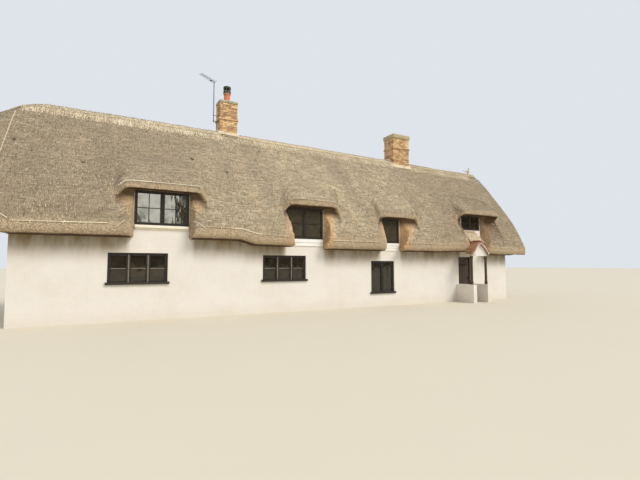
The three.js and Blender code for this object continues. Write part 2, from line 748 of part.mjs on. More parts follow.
/** The metal cowl that stands on the pot: a slotted drum under a shallow lid. */
function cowl([x, y, z]) {
  const { radius, height, lid, skin: sheet, slots } = COWL;
  const crown = height + lid;
  let drum = turned([
    [radius - sheet, 0], [radius, 0], [radius, height], [radius * 0.6, crown - lid / 4],
    [0, crown], [0, crown - sheet], [radius - sheet, height - sheet], [radius - sheet, 0],
  ], [x, y, z]);
  for (let i = 0; i < slots / 2; i += 1) {
    const geometry = new THREE.BoxGeometry(4 * radius, radius * 0.55, height * 0.5);
    geometry.rotateZ(((2 * i + 1) * Math.PI) / slots);
    geometry.translate(x, y, z + height * 0.6);
    drum = drum.subtract(solid(geometry));
  }
  return drum;
}

/** The mortar fillet that seals a stack to the ridge and the thatch. */
function fillet(stack, mass) {
  const covering = (x, y) => {
    const capped = Math.abs(y) < CAP_REACH ? CAP_THICKNESS : 0;
    return slopeHeight(y < 0 ? -1 : 1, x, Math.abs(y)) + capped;
  };
  const under = covering(stack.x[0], Math.min(...stack.y)) - COAT_AT_HIP;
  return loft([
    planRing(stack, stack.skirt, () => under),
    planRing(stack, stack.skirt, (x, y) => covering(x, y) + FILLET.edge),
    planRing(stack, 1, (x, y) => covering(x, y) + FILLET.rise),
  ])
    .subtract(mass.translate([0, 0, GAP]))
    .subtract(saddle(GAP))
    .subtract(shaft(stack, GAP));
}

// Aerial and finial

/** The mast, with the two bracket arms that hold it to the brickwork. */
function aerialMast() {
  const geometry = new THREE.CylinderGeometry(MAST.radius, MAST.radius, MAST.top - MAST.bottom, 10);
  geometry.rotateX(Math.PI / 2);
  geometry.translate(MAST.x, MAST.y, (MAST.top + MAST.bottom) / 2);
  let mast = solid(geometry);
  const [acrossArm, upArm] = [BRACKET.width / 2, BRACKET.depth / 2];
  for (const z of BRACKET.heights) {
    mast = mast.add(block(
      [MAST.x, LEFT_STACK.x[0] - GAP],
      [MAST.y - acrossArm, MAST.y + acrossArm],
      [z - upArm, z + upArm],
    ));
  }
  return mast;
}

/** The receiving bars on their level boom, which a clamp holds on top of the mast. */
function aerialBars() {
  const { length, tail, elements, span, bar, rod, turn } = AERIAL;
  const aimed = ([sizeX, sizeY, sizeZ], x) => {
    const geometry = new THREE.BoxGeometry(sizeX, sizeY, sizeZ);
    geometry.translate(x, 0, 0);
    geometry.rotateZ(turn);
    return solid(geometry);
  };
  const from = tail - length;
  const step = (length * 0.9) / (elements - 1);
  let bars = aimed([length, bar, bar], tail - length / 2);
  for (let i = 0; i < elements; i += 1) {
    const width = span * (0.75 + (0.25 * i) / (elements - 1));
    bars = bars.add(aimed([rod, width, rod], from + 20 + i * step));
  }
  const half = CLAMP.width / 2;
  return bars.add(block([-half, half], [-half, half], [-CLAMP.below, bar / 2]));
}

/** The straw bird: its post, its body with a long tail, and its neck and head. */
function ridgeFinial() {
  const { x, post, sunk, height, body, breast, tail, tip, neck, head } = BIRD;
  const seat = alongRun(RIDGE_LINE, x);
  const stand = turned([
    [0, 0], [post, 0], [post, sunk], [post * 0.7, sunk + height], [0, sunk + height],
  ], [x, 0, seat - sunk], 12);
  const lying = turned([
    [0, 0], [tip, 0], [tip * 1.8, tail * 0.6], [body * 0.8, tail * 0.9], [body, tail],
    [body * 0.8, tail + breast * 0.6], [0, tail + breast],
  ], [0, 0, 0], 12).rotate([0, 90, 0]).translate([x - tail, 0, seat + height]);
  const rise = head.top - height;
  const raised = turned([
    [0, 0], [neck.radius * 1.6, 0], [neck.radius, rise * 0.6], [head.radius, rise * 0.8],
    [head.radius * 0.6, rise], [0, rise],
  ], [x + neck.ahead, 0, seat + height], 12);
  return stand.add(lying).add(raised).subtract(saddle(GAP));
}

// Porch

/** A bowed gable outline of the porch: both feet, the points halfway up and the apex. */
function porchOutline(depth) {
  const { x, halfWidth, apex, eave, bow } = PORCH;
  const half = halfWidth - depth * 0.6;
  const middle = halfWidth / 2 + bow - depth * 0.7;
  const low = eave - depth * 0.8;
  const shoulder = (eave + apex) / 2 + bow - depth * 0.75;
  return [
    [x - half, low], [x - middle, shoulder], [x, apex - depth * 1.3],
    [x + middle, shoulder], [x + half, low],
  ];
}

/** The two tiled slopes of the porch roof. */
function porchRoof() {
  const { tile, front, verge } = PORCH;
  const outline = [...porchOutline(0), ...porchOutline(tile).reverse()];
  const roof = acrossHouse(outline, [-front - verge, -HALF_DEPTH - GAP]);
  return roof.subtract(block([0, PORCH_CUT.x], [-PORCH_CUT.reach, 0], [0, BEYOND]));
}

/** The rendered gable of the porch, with the tie beam at its foot. */
function porchGable() {
  const { tile, front, gable, tie } = PORCH;
  const outline = porchOutline(tile + GAP);
  const foot = POST.top + GAP;
  const ends = [outline[0][0], outline[outline.length - 1][0]];
  return acrossHouse([[ends[0], foot], ...outline, [ends[1], foot]], [-front, -front + gable])
    .add(block(ends, [-front, -front + tie.depth], [foot, foot + tie.height]));
}

/** The apron of straw between the sill of the fourth window and the ridge of the porch. */
function porchApron() {
  const { x, reach, foot, head } = APRON;
  const back = HALF_DEPTH + GAP;
  const seat = PORCH.apex + GAP;
  return alongHouse([[-back, seat], [-back, head], [-reach, foot], [-reach, seat]], x);
}

/** One of the two posts that carry the porch. */
function porchPost(end) {
  const middle = PORCH.x + end * POST.centre;
  const y = -PORCH.front;
  return block(
    [middle - POST.width / 2, middle + POST.width / 2],
    [y, y + POST.width],
    [DWARF_WALL.height + GAP, POST.top],
  );
}

/** The low wall under a post, run back to the house. */
function dwarfWall(end) {
  const middle = PORCH.x + end * POST.centre;
  return block(
    [middle - DWARF_WALL.thickness / 2, middle + DWARF_WALL.thickness / 2],
    [-DWARF_WALL.front, -HALF_DEPTH - GAP],
    [0, DWARF_WALL.height],
  );
}

// Assembly

const house = new THREE.Group();

/** Adds one named piece to the house. */
function piece(name, body, colour, roughness = 0.9, metalness = 0) {
  const material = new THREE.MeshStandardMaterial({ color: colour, roughness, metalness });
  const mesh = new THREE.Mesh(geometryOf(body), material);
  mesh.name = name;
  house.add(mesh);
  return mesh;
}

function addWalls() {
  const openings = [...UPPER_WINDOWS, ...GROUND_WINDOWS, DOOR_OPENING];
  const front = longWall(-1, openings);
  const between = (from, to, z) => block([from, to], [-BEYOND, 0], z);
  const [left, right] = DOOR.x;
  const all = [0, BEYOND];
  piece("front_wall_left", front.intersect(between(-VERGE, left - GAP, all)), COLOURS.render);
  piece("front_wall_right", front.intersect(between(right + GAP, VERGE, all)), COLOURS.render);
  piece(
    "front_wall_over_door",
    front.intersect(between(left, right, [DOOR.head, BEYOND])),
    COLOURS.render,
  );
  piece("back_wall", longWall(1, openings), COLOURS.render);
  piece("left_gable_wall", gableWall(-1), COLOURS.render);
  piece("right_gable_wall", gableWall(1), COLOURS.render);
  piece("ground_floor", floor([0, FLOOR_TOP], []), COLOURS.floor);
  const upper = floor([UPPER_FLOOR.bottom, UPPER_FLOOR.top], [LEFT_STACK, RIGHT_STACK]);
  piece("upper_floor", upper, COLOURS.boards);
}

function addRoof(mass) {
  const under = spaceUnderThatch();
  piece("front_thatch", thatch(-1, under), COLOURS.thatch, 1);
  piece("back_thatch", thatch(1, under), COLOURS.thatch, 1);
  piece("ridge_cap", ridgeCap(mass), COLOURS.ridge, 1);
  piece("ridge_finial", ridgeFinial(), COLOURS.ridge, 1);
}

function addChimneys(mass) {
  const middle = [
    (LEFT_STACK.x[0] + LEFT_STACK.x[1]) / 2,
    (LEFT_STACK.y[0] + LEFT_STACK.y[1]) / 2,
  ];
  const potFoot = LEFT_STACK.top + GAP + LEFT_CAP.height + GAP;
  piece("left_chimney_stack", brickStack(LEFT_STACK, LEFT_BAND), COLOURS.brick);
  piece("left_chimney_cap", stackCap(LEFT_STACK, LEFT_CAP, POT.bore), COLOURS.cement);
  piece("left_chimney_fillet", fillet(LEFT_STACK, mass), COLOURS.mortar);
  piece("chimney_pot", chimneyPot([...middle, potFoot]), COLOURS.pot, 0.8);
  piece("chimney_cowl", cowl([...middle, potFoot + POT.height + GAP]), COLOURS.cowl, 0.5, 0.6);
  piece("right_chimney_stack", brickStack(RIGHT_STACK, RIGHT_BAND), COLOURS.brick);
  piece("right_chimney_cap", stackCap(RIGHT_STACK, RIGHT_CAP, 0), COLOURS.cement);
  piece("right_chimney_fillet", fillet(RIGHT_STACK, mass), COLOURS.mortar);
}

function addAerial() {
  piece("aerial_mast", aerialMast(), COLOURS.aerial, 0.4, 0.8);
  const bars = piece("aerial_bars", aerialBars(), COLOURS.aerial, 0.4, 0.8);
  bars.position.set(MAST.x, MAST.y, MAST.top + CLAMP.below + GAP);
}

function addWindows() {
  for (const window of UPPER_WINDOWS) {
    piece(`${window.name}_frame`, windowFrame(window), COLOURS.oak, 0.6);
    piece(`${window.name}_glass`, windowGlass(window), COLOURS.glass, 0.05);
  }
  for (const window of GROUND_WINDOWS) {
    const frame = windowFrame(window).add(windowSill(window));
    piece(`${window.name}_frame`, frame, COLOURS.oak, 0.6);
    piece(`${window.name}_glass`, windowGlass(window), COLOURS.glass, 0.05);
  }
}

function addPorch() {
  piece("porch_roof", porchRoof(), COLOURS.tile);
  piece("porch_gable", porchGable(), COLOURS.render);
  piece("porch_apron", porchApron(), COLOURS.thatch, 1);
  for (const [word, end] of [["left", -1], ["right", 1]]) {
    piece(`porch_${word}_post`, porchPost(end), COLOURS.oak, 0.7);
    piece(`porch_${word}_dwarf_wall`, dwarfWall(end), COLOURS.render);
  }
  piece("door_frame", doorFrame(), COLOURS.oak, 0.7);
  piece("front_door", doorLeaf(), COLOURS.oak, 0.7);
}

const mass = roofMass();
addWalls();
addRoof(mass);
addChimneys(mass);
addAerial();
addWindows();
addPorch();

export default house;
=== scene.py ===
"""Looks of a long, low thatched cottage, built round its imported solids.

Everything is in metres and +Z is up. +X runs along the house and -Y is the garden front.
"""

import itertools
import logging
import math
from collections.abc import Sequence
from dataclasses import dataclass, field
from enum import Enum

import bmesh
import bpy
import numpy as np
from mathutils import Matrix, Vector
from mathutils.bvhtree import BVHTree
from mathutils.kdtree import KDTree


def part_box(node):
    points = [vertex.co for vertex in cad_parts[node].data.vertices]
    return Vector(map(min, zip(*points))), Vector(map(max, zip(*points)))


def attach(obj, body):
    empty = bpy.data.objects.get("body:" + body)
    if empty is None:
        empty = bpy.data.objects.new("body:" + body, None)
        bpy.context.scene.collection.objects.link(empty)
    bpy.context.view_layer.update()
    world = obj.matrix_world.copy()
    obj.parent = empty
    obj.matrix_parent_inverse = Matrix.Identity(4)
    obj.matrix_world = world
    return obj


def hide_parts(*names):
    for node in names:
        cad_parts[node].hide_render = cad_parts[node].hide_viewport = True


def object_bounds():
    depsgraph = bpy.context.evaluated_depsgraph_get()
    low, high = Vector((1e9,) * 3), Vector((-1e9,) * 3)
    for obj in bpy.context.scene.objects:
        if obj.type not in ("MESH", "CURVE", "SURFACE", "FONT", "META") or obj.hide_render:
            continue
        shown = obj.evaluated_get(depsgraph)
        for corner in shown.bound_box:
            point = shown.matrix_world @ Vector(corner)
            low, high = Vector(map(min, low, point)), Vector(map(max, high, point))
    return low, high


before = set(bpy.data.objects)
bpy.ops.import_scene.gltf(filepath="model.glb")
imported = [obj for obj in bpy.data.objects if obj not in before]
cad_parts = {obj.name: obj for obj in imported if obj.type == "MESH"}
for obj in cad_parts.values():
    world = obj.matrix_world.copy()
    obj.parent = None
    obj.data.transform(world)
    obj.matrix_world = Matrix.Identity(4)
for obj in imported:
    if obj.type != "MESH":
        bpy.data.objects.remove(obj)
CAD_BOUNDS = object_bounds()

log = logging.getLogger("cottage")

Colour = tuple[float, float, float, float]
Span = tuple[float, float]
Triple = tuple[float, float, float]
Waves = Sequence[tuple[float, Triple]]
Dice = np.random.Generator
Socket = bpy.types.NodeSocket
Sockets = bpy.types.bpy_prop_collection
Value = float | Sequence[float] | Socket
BODY = "root"
EVEN: Triple = (1.0, 1.0, 1.0)
UNIT_CHAMFER = 0.1  # of the block from -1 to 1 that every block is stretched from
CHAMFER = 0.003  # of an ordinary small block
MOST_CHAMFER = 0.4  # a chamfer takes at most this share of half a block's least width
CREASE_ANGLE = 0.6  # small forms shade smooth across gentler edges than this
STEEP = 0.9  # a rod whose direction rises more than this counts as upright
FAR_OUT = 30.0  # feelers start this far from the middle of the house
PROUD = 0.0005  # a piece laid on another stands this far off it
WALL_FACE = 2.7  # the long walls' outer faces lie this far from the middle of the house
GLASS_TO_RIM = 0.042  # from the side of an upper window's glass to the straw beside its frame
WELD = 1e-4  # points nearer each other than this are one point
CUT_WELD = 1e-5  # points nearer a cut than this lie on it
LEAST_LENGTH = 1e-3  # a direction shorter than this has no use
BROW_SEED = 40  # added to the coat's seed for the shelter of the first brow
STREAK_SEED = 9  # of the sway of the streaks


class Side(Enum):
    """The two long sides of the house, as the sign of their Y."""

    FRONT = -1
    BACK = 1


class Lay(Enum):
    """How straws lie on the coat that they grow from."""

    COMBED = "combed down the slope"
    CUT = "standing out of a trimmed face"


# Numbers that vary smoothly over points

CELL_PRIMES = np.array([73856093, 19349663, 83492791])
SEED_STEP = 2654435761
SCRAMBLES = ((15, 2246822519), (13, 3266489917))
LOW_BITS = 0xFFFFFFFF
HALF_RANGE = 0x7FFFFF


def colour(red: int, green: int, blue: int) -> Colour:
    """A linear colour from the three numbers of a screen colour, each up to 255."""
    parts = (value / 255 for value in (red, green, blue))
    return (*(p / 12.92 if p <= 0.04045 else ((p + 0.055) / 1.055) ** 2.4 for p in parts), 1.0)


def eased(share: np.ndarray) -> np.ndarray:
    """Shares from 0 to 1, made to start and stop gently."""
    return share * share * (3 - 2 * share)


def smooth_step(values: np.ndarray, low: float, high: float) -> np.ndarray:
    """Values eased from 0 at low to 1 at high."""
    return eased(np.clip((values - low) / (high - low), 0, 1))


def soft_noise(points: np.ndarray, scale: Sequence[float], seed: int) -> np.ndarray:
    """Smooth seeded noise.

    Args:
        points: places, one row each.
        scale: cells of noise in a metre, along each axis.
        seed: picks one of many patterns.

    Returns:
        A value from -1 to 1 for each place.
    """
    grid = points * np.asarray(scale)
    cell = np.floor(grid).astype(np.int64)
    share = eased(grid - cell)
    total = np.zeros(len(points))
    for corner in itertools.product((0, 1), repeat=3):
        key = ((cell + corner) * CELL_PRIMES).sum(axis=1) + seed * SEED_STEP
        for shift, factor in SCRAMBLES:
            key = (key ^ (key >> shift)) * factor & LOW_BITS
        value = (key >> 8) / HALF_RANGE - 1
        total += value * np.where(corner, share, 1 - share).prod(axis=1)
    return total


def uneven(points: np.ndarray, waves: Waves, seed: int) -> np.ndarray:
    """Noises of several sizes, added up.

    Args:
        points: places, one row each.
        waves: each noise's depth, and its cells in a metre along each axis.
        seed: the first noise's seed; the others count up from it.

    Returns:
        How far each place rises.
    """
    rise = np.zeros(len(points))
    for i, (depth, scale) in enumerate(waves):
        rise += depth * soft_noise(points, scale, seed + i)
    return rise


def random_tint(dice: Dice, spread: float) -> float:
    """A tint about the middle of a finish's tones, from 0 to 1."""
    return float(np.clip(dice.normal(0.5, spread), 0, 1))


# Meshes

@dataclass(frozen=True)
class Form:
    """A small closed shape: its points, and its faces as corner numbers."""

    points: np.ndarray
    faces: tuple[tuple[int, ...], ...]

    def moved(self, shift: Sequence[float], turn: Matrix | None = None) -> "Form":
        """The form turned, where a turn is given, and then shifted."""
        points = self.points if turn is None else self.points @ np.array(turn).T
        return Form(points + np.asarray(shift), self.faces)


def unit_block() -> Form:
    """A block from -1 to 1 with chamfered edges, to be stretched by block().

    Returns:
        The block's form.
    """
    mesh = bmesh.new()
    bmesh.ops.create_cube(mesh, size=2)
    edges = list(mesh.edges)
    bmesh.ops.bevel(mesh, geom=edges, offset=UNIT_CHAMFER, segments=1, affect="EDGES")
    points = np.array([vert.co for vert in mesh.verts])
    faces = tuple(tuple(vert.index for vert in face.verts) for face in mesh.faces)
    mesh.free()
    return Form(points, faces)


UNIT_BLOCK = unit_block()


def block(low: Sequence[float], high: Sequence[float], chamfer: float = CHAMFER) -> Form:
    """An upright block with chamfered edges.

    Args:
        low: its lowest corner.
        high: its highest corner.
        chamfer: how far the chamfer reaches in from each face.

    Returns:
        The block's form.
    """
    middle = (np.asarray(low, float) + high) / 2
    half = (np.asarray(high, float) - low) / 2
    inset = np.abs(UNIT_BLOCK.points) < 1 - UNIT_CHAMFER / 2
    cut = min(chamfer, MOST_CHAMFER * float(half.min()))
    return Form(middle + np.sign(UNIT_BLOCK.points) * (half - cut * inset), UNIT_BLOCK.faces)


def block_at(middle: Sequence[float], half: Triple, chamfer: float = CHAMFER) -> Form:
    """A block about its middle, from half of its size along each axis."""
    return block(np.asarray(middle) - half, np.asarray(middle) + half, chamfer)


def slab(side: Side, wide: Span, out: Span, high: Span, chamfer: float = CHAMFER) -> Form:
    """A block on one long side, with its faces at two distances out from the house's middle."""
    near, far = sorted(side.value * distance for distance in out)
    return block((wide[0], near, high[0]), (wide[1], far, high[1]), chamfer)


def swept(rings: np.ndarray) -> Form:
    """A closed skin with flat ends.

    Args:
        rings: the rings that it runs through, each of the same number of points.

    Returns:
        The skin's form.
    """
    count, size = rings.shape[:2]
    faces: list[tuple[int, ...]] = []
    for i, j in itertools.product(range(count - 1), range(size)):
        k = (j + 1) % size
        faces.append((i * size + j, i * size + k, (i + 1) * size + k, (i + 1) * size + j))
    faces.append(tuple(reversed(range(size))))
    faces.append(tuple(range((count - 1) * size, count * size)))
    return Form(rings.reshape(-1, 3), tuple(faces))


def turned(profile: Sequence[tuple[float, float]], centre: Sequence[float], sides: int) -> Form:
    """A turned form with an open middle.

    Args:
        profile: a closed run of radius and height, anticlockwise from the inner foot.
        centre: the point that the heights are taken from.
        sides: the number of sides round the axis.

    Returns:
        The turned form.
    """
    size = len(profile)
    points = []
    for i in range(sides):
        angle = 2 * math.pi * i / sides
        points += [(r * math.cos(angle), r * math.sin(angle), z) for r, z in profile]
    faces = []
    for i, j in itertools.product(range(sides), range(size)):
        near, far = i * size, (i + 1) % sides * size
        k = (j + 1) % size
        faces.append((near + j, far + j, far + k, near + k))
    return Form(np.array(points) + centre, tuple(faces))


def rod(path: Sequence[Vector], radius: float, sides: int = 6) -> Form:
    """A round rod along a path.

    Args:
        path: the points that its middle passes.
        radius: half its thickness.
        sides: the number of sides round it.

    Returns:
        The rod's form.
    """
    rings = []
    for i, point in enumerate(path):
        ahead = (path[min(i + 1, len(path) - 1)] - path[max(i - 1, 0)]).normalized()
        across = ahead.orthogonal() if abs(ahead.z) > STEEP else ahead.cross(Vector((0, 0, 1)))
        across.normalize()
        up = across.cross(ahead)
        angles = [2 * math.pi * k / sides for k in range(sides)]
        rings.append([point + (across * math.cos(a) + up * math.sin(a)) * radius for a in angles])
    return swept(np.array(rings))


class Batch:
    """Small forms gathered into one mesh, each with a tint of its own."""

    def __init__(self) -> None:
        """Starts empty."""
        self.points: list[np.ndarray] = []
        self.corners: list[np.ndarray] = []
        self.sizes: list[np.ndarray] = []
        self.tints: list[np.ndarray] = []
        self.count = 0

    def add(self, form: Form, tint: float = 0.5) -> None:
        """Adds one form.

        Args:
            form: the shape, already in its place.
            tint: its own place between a finish's dark and pale tones.
        """
        corners = np.fromiter(itertools.chain.from_iterable(form.faces), int) + self.count
        sizes = np.fromiter(map(len, form.faces), int)
        self.add_many(form.points, corners, sizes, np.full(len(form.points), tint))

    def add_many(
        self, points: np.ndarray, corners: np.ndarray, sizes: np.ndarray, tints: np.ndarray
    ) -> None:
        """Adds many forms at once.

        Args:
            points: all their points.
            corners: the faces' corners, numbered over the whole batch.
            sizes: the number of corners of each face.
            tints: a tint for each point.
        """
        self.points.append(points)
        self.corners.append(corners)
        self.sizes.append(sizes)
        self.tints.append(tints)
        self.count += len(points)

    def build(self, name: str, finish: bpy.types.Material) -> bpy.types.Object:
        """Makes the object.

        Args:
            name: the object's name.
            finish: its material.

        Returns:
            The new object.
        """
        sizes = np.concatenate(self.sizes)
        corners = np.concatenate(self.corners)
        mesh = bpy.data.meshes.new(name)
        mesh.vertices.add(self.count)
        mesh.vertices.foreach_set("co", np.concatenate(self.points).astype(np.float32).ravel())
        mesh.loops.add(len(corners))
        mesh.loops.foreach_set("vertex_index", corners.astype(np.int32))
        mesh.polygons.add(len(sizes))
        starts = np.concatenate([[0], np.cumsum(sizes)[:-1]])
        mesh.polygons.foreach_set("loop_start", starts.astype(np.int32))
        tint = mesh.attributes.new("tint", "FLOAT", "POINT")
        tint.data.foreach_set("value", np.concatenate(self.tints).astype(np.float32))
        mesh.update(calc_edges=True)
        mesh.set_sharp_from_angle(angle=CREASE_ANGLE)
        return place(name, mesh, finish)


def place(name: str, mesh: bpy.types.Mesh, finish: bpy.types.Material) -> bpy.types.Object:
    """Puts a mesh into the scene as a piece.

    Args:
        name: the piece's name.
        mesh: its mesh.
        finish: its only material.

    Returns:
        The new piece.
    """
    mesh.materials.clear()
    mesh.materials.append(finish)
    piece = bpy.data.objects.new(name, mesh)
    bpy.context.scene.collection.objects.link(piece)
    return piece


def mesh_array(mesh: bpy.types.Mesh, what: str) -> np.ndarray:
    """Reads something that each point of a mesh has.

    Args:
        mesh: the mesh.
        what: "co" for the places of its points, or "normal" for their normals.

    Returns:
        What was asked for, one row for each point.
    """
    values = np.empty(len(mesh.vertices) * 3, np.float32)
    mesh.vertices.foreach_get(what, values)
    return values.reshape(-1, 3).astype(float)


def mask_array(mesh: bpy.types.Mesh, name: str) -> np.ndarray:
    """Reads a mask.

    Args:
        mesh: the mesh that it is stored on.
        name: the mask's name.

    Returns:
        Its values, one for each point of the mesh.
    """
    values = np.empty(len(mesh.vertices), np.float32)
    mesh.attributes[name].data.foreach_get("value", values)
    return values


def set_points(mesh: bpy.types.Mesh, points: np.ndarray) -> None:
    """Moves a mesh's points to new places."""
    mesh.vertices.foreach_set("co", points.astype(np.float32).ravel())
    mesh.update()


def set_mask(mesh: bpy.types.Mesh, name: str, values: np.ndarray) -> None:
    """Stores a value for each point of a mesh, which its material can read by name."""
    layer = mesh.attributes.new(name, "FLOAT", "POINT")
    layer.data.foreach_set("value", values.astype(np.float32))


def voxel_skin(node: str, voxel: float, backing: Sequence[Form] = ()) -> bpy.types.Mesh:
    """An even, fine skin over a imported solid.

    Args:
        node: the solid's name.
        voxel: the length of the skin's small squares.
        backing: forms that thicken the solid from behind, where the skin would lose a thin rim.

    Returns:
        The new mesh.
    """
    work = bmesh.new()
    work.from_mesh(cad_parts[node].data)
    for form in backing:
        corners = [work.verts.new(point) for point in form.points]
        for face in form.faces:
            work.faces.new([corners[i] for i in face])
    source = bpy.data.meshes.new("skin_source")
    work.to_mesh(source)
    work.free()
    holder = bpy.data.objects.new("skin_holder", source)
    bpy.context.scene.collection.objects.link(holder)
    remesh = holder.modifiers.new("skin", "REMESH")
    remesh.mode = "VOXEL"
    remesh.voxel_size = voxel
    graph = bpy.context.evaluated_depsgraph_get()
    mesh = bpy.data.meshes.new_from_object(holder.evaluated_get(graph))
    bpy.data.objects.remove(holder)
    return mesh


def edge_points(node: str, turn: float, step: float) -> np.ndarray:
    """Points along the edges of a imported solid.

    Args:
        node: the solid's name.
        turn: the least angle between the two faces of such an edge, in radians.
        step: the spacing of the points.

    Returns:
        The points, one row each.
    """
    mesh = bmesh.new()
    mesh.from_mesh(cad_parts[node].data)
    bmesh.ops.remove_doubles(mesh, verts=mesh.verts, dist=WELD)
    points = []
    for edge in mesh.edges:
        if edge.calc_face_angle(0) > turn:
            start, end = (vert.co for vert in edge.verts)
            parts = max(1, math.ceil(edge.calc_length() / step))
            points += [start.lerp(end, i / parts) for i in range(parts + 1)]
    mesh.free()
    return np.array(points)


def nearest_of(points: np.ndarray, targets: np.ndarray) -> tuple[np.ndarray, np.ndarray]:
    """The nearest of the targets to each point.

    Args:
        points: places, one row each.
        targets: the places to choose from, one row each.

    Returns:
        How far the nearest target lies, and where it is, for each point.
    """
    tree = KDTree(len(targets))
    for i, target in enumerate(targets):
        tree.insert(target, i)
    tree.balance()
    found = [tree.find(point) for point in points]
    return np.array([item[2] for item in found]), targets[[item[1] for item in found]]


def relaxed(mesh: bpy.types.Mesh, weights: np.ndarray, rounds: int) -> np.ndarray:
    """Places of a mesh's points after they moved towards their neighbours' mean.

    Args:
        mesh: the mesh.
        weights: how far each point moves in a round, from 0 to 1.
        rounds: the number of rounds.

    Returns:
        The new places.
    """
    ends = np.empty(len(mesh.edges) * 2, np.int32)
    mesh.edges.foreach_get("vertices", ends)
    first, second = ends.reshape(-1, 2).T
    points = mesh_array(mesh, "co")
    count = np.bincount(ends, minlength=len(points)).clip(1)[:, None]
    for _ in range(rounds):
        total = np.empty_like(points)
        for axis in range(3):
            column = points[:, axis]
            total[:, axis] = np.bincount(first, column[second], len(points))
            total[:, axis] += np.bincount(second, column[first], len(points))
        points += weights[:, None] * (total / count - points)
    return points


class Feeler:
    """Finds the outer skin of finished meshes, to seat other pieces on it."""

    def __init__(self, meshes: Sequence[bpy.types.Mesh]) -> None:
        """Gathers the meshes' faces.

        Args:
            meshes: the meshes to feel, all in the house's frame.
        """
        points: list[Vector] = []
        faces: list[tuple[int, ...]] = []
        for mesh in meshes:
            base = len(points)
            points += [vert.co.copy() for vert in mesh.vertices]
            faces += [tuple(base + i for i in face.vertices) for face in mesh.polygons]
        self.tree = BVHTree.FromPolygons(points, faces)

    def from_outside(self, side: Side, x: float, z: float) -> tuple[Vector, Vector] | None:
        """The skin's point and normal seen level from one long side, at x and a height."""
        return self._hit((x, side.value * FAR_OUT, z), (0, -side.value, 0))

    def from_above(self, x: float, y: float) -> tuple[Vector, Vector] | None:
        """The skin's highest point at x and y, with its normal."""
        return self._hit((x, y, FAR_OUT), (0, 0, -1))

    def _hit(self, start: Triple, way: Triple) -> tuple[Vector, Vector] | None:
        """The first point that a ray meets, with its normal, or nothing."""
        found = self.tree.ray_cast(Vector(start), Vector(way))
        return None if found[0] is None else (found[0], found[1])


# Shader nodes

class NodeSheet:
    """A node tree with short ways to add nodes and to join them."""

    def __init__(self, tree: bpy.types.NodeTree) -> None:
        """Starts on a tree."""
        self.tree = tree

    def node(
        self, kind: str, inputs: dict[str | int, Value] | None = None, **settings: object
    ) -> bpy.types.Node:
        """Adds a node.

        Args:
            kind: the node's type, without the word ShaderNode.
            inputs: a value, or the socket of another node, for each input.
            settings: the node's own settings.

        Returns:
            The new node.
        """
        node = self.tree.nodes.new(f"ShaderNode{kind}")
        for name, value in settings.items():
            setattr(node, name, value)
        for key, value in (inputs or {}).items():
            self.feed(node.inputs[key], value)
        return node

    def feed(self, socket: Socket, value: Value) -> None:
        """Joins a socket to another one, or sets it to a value.

        Args:
            socket: the input to feed.
            value: the value, or the other socket.
        """
        if isinstance(value, bpy.types.NodeSocket):
            self.tree.links.new(value, socket)
        else:
            socket.default_value = value

    def spot(self, stretch: Triple = EVEN) -> Socket:
        """The place on the object, with each axis multiplied."""
        place_on = self.node("TexCoord").outputs["Object"]
        return self.node("VectorMath", {0: place_on, 1: stretch}, operation="MULTIPLY").outputs[0]

    def noise(self, spot: Value, scale: Value, detail: float = 3.0, rough: float = 0.6) -> Socket:
        """Noise from 0 to 1 at a spot."""
        inputs = {"Vector": spot, "Scale": scale, "Detail": detail, "Roughness": rough}
        return self.node("TexNoise", inputs).outputs["Fac"]

    def mask(self, name: str) -> Socket:
        """A value stored on the mesh's points."""
        return self.node("Attribute", attribute_name=name).outputs["Fac"]

    def ease(
        self, value: Value, low: Value, high: Value, start: float = 0.0, end: float = 1.0
    ) -> Socket:
        """A value eased from start to end as it passes from low to high."""
        inputs = {"Value": value, "From Min": low, "From Max": high, "To Min": start, "To Max": end}
        return self.node("MapRange", inputs, interpolation_type="SMOOTHSTEP").outputs["Result"]

    def sum(self, operation: str, first: Value, second: Value = 0.0) -> Socket:
        """One sum with two values, by the name of Blender's Math operation."""
        return self.node("Math", {0: first, 1: second}, operation=operation).outputs[0]

    def plus(self, first: Value, second: Value) -> Socket:
        """Two values added."""
        return self.sum("ADD", first, second)

    def less(self, first: Value, second: Value) -> Socket:
        """The second value taken from the first."""
        return self.sum("SUBTRACT", first, second)

    def times(self, first: Value, second: Value) -> Socket:
        """Two values multiplied."""
        return self.sum("MULTIPLY", first, second)

    def mix(self, share: Value, first: Value, second: Value) -> Socket:
        """Two colours, or two values, mixed by the share of the second."""
        inputs = {0: share, 6: first, 7: second}
        return self.node("Mix", inputs, data_type="RGBA").outputs[2]

    def axis(self, name: str) -> Socket:
        """The X, Y or Z of the place on the object."""
        return self.node("SeparateXYZ", {0: self.spot()}).outputs[name]

    def effect(self, tree: bpy.types.NodeTree, inputs: dict[str, Value]) -> Sockets:
        """Places a shared effect.

        Args:
            tree: the effect's node group.
            inputs: a value, or the socket of another node, for each of its inputs.

        Returns:
            The group's outputs.
        """
        group = self.node("Group", node_tree=tree)
        for key, value in inputs.items():
            self.feed(group.inputs[key], value)
        return group.outputs


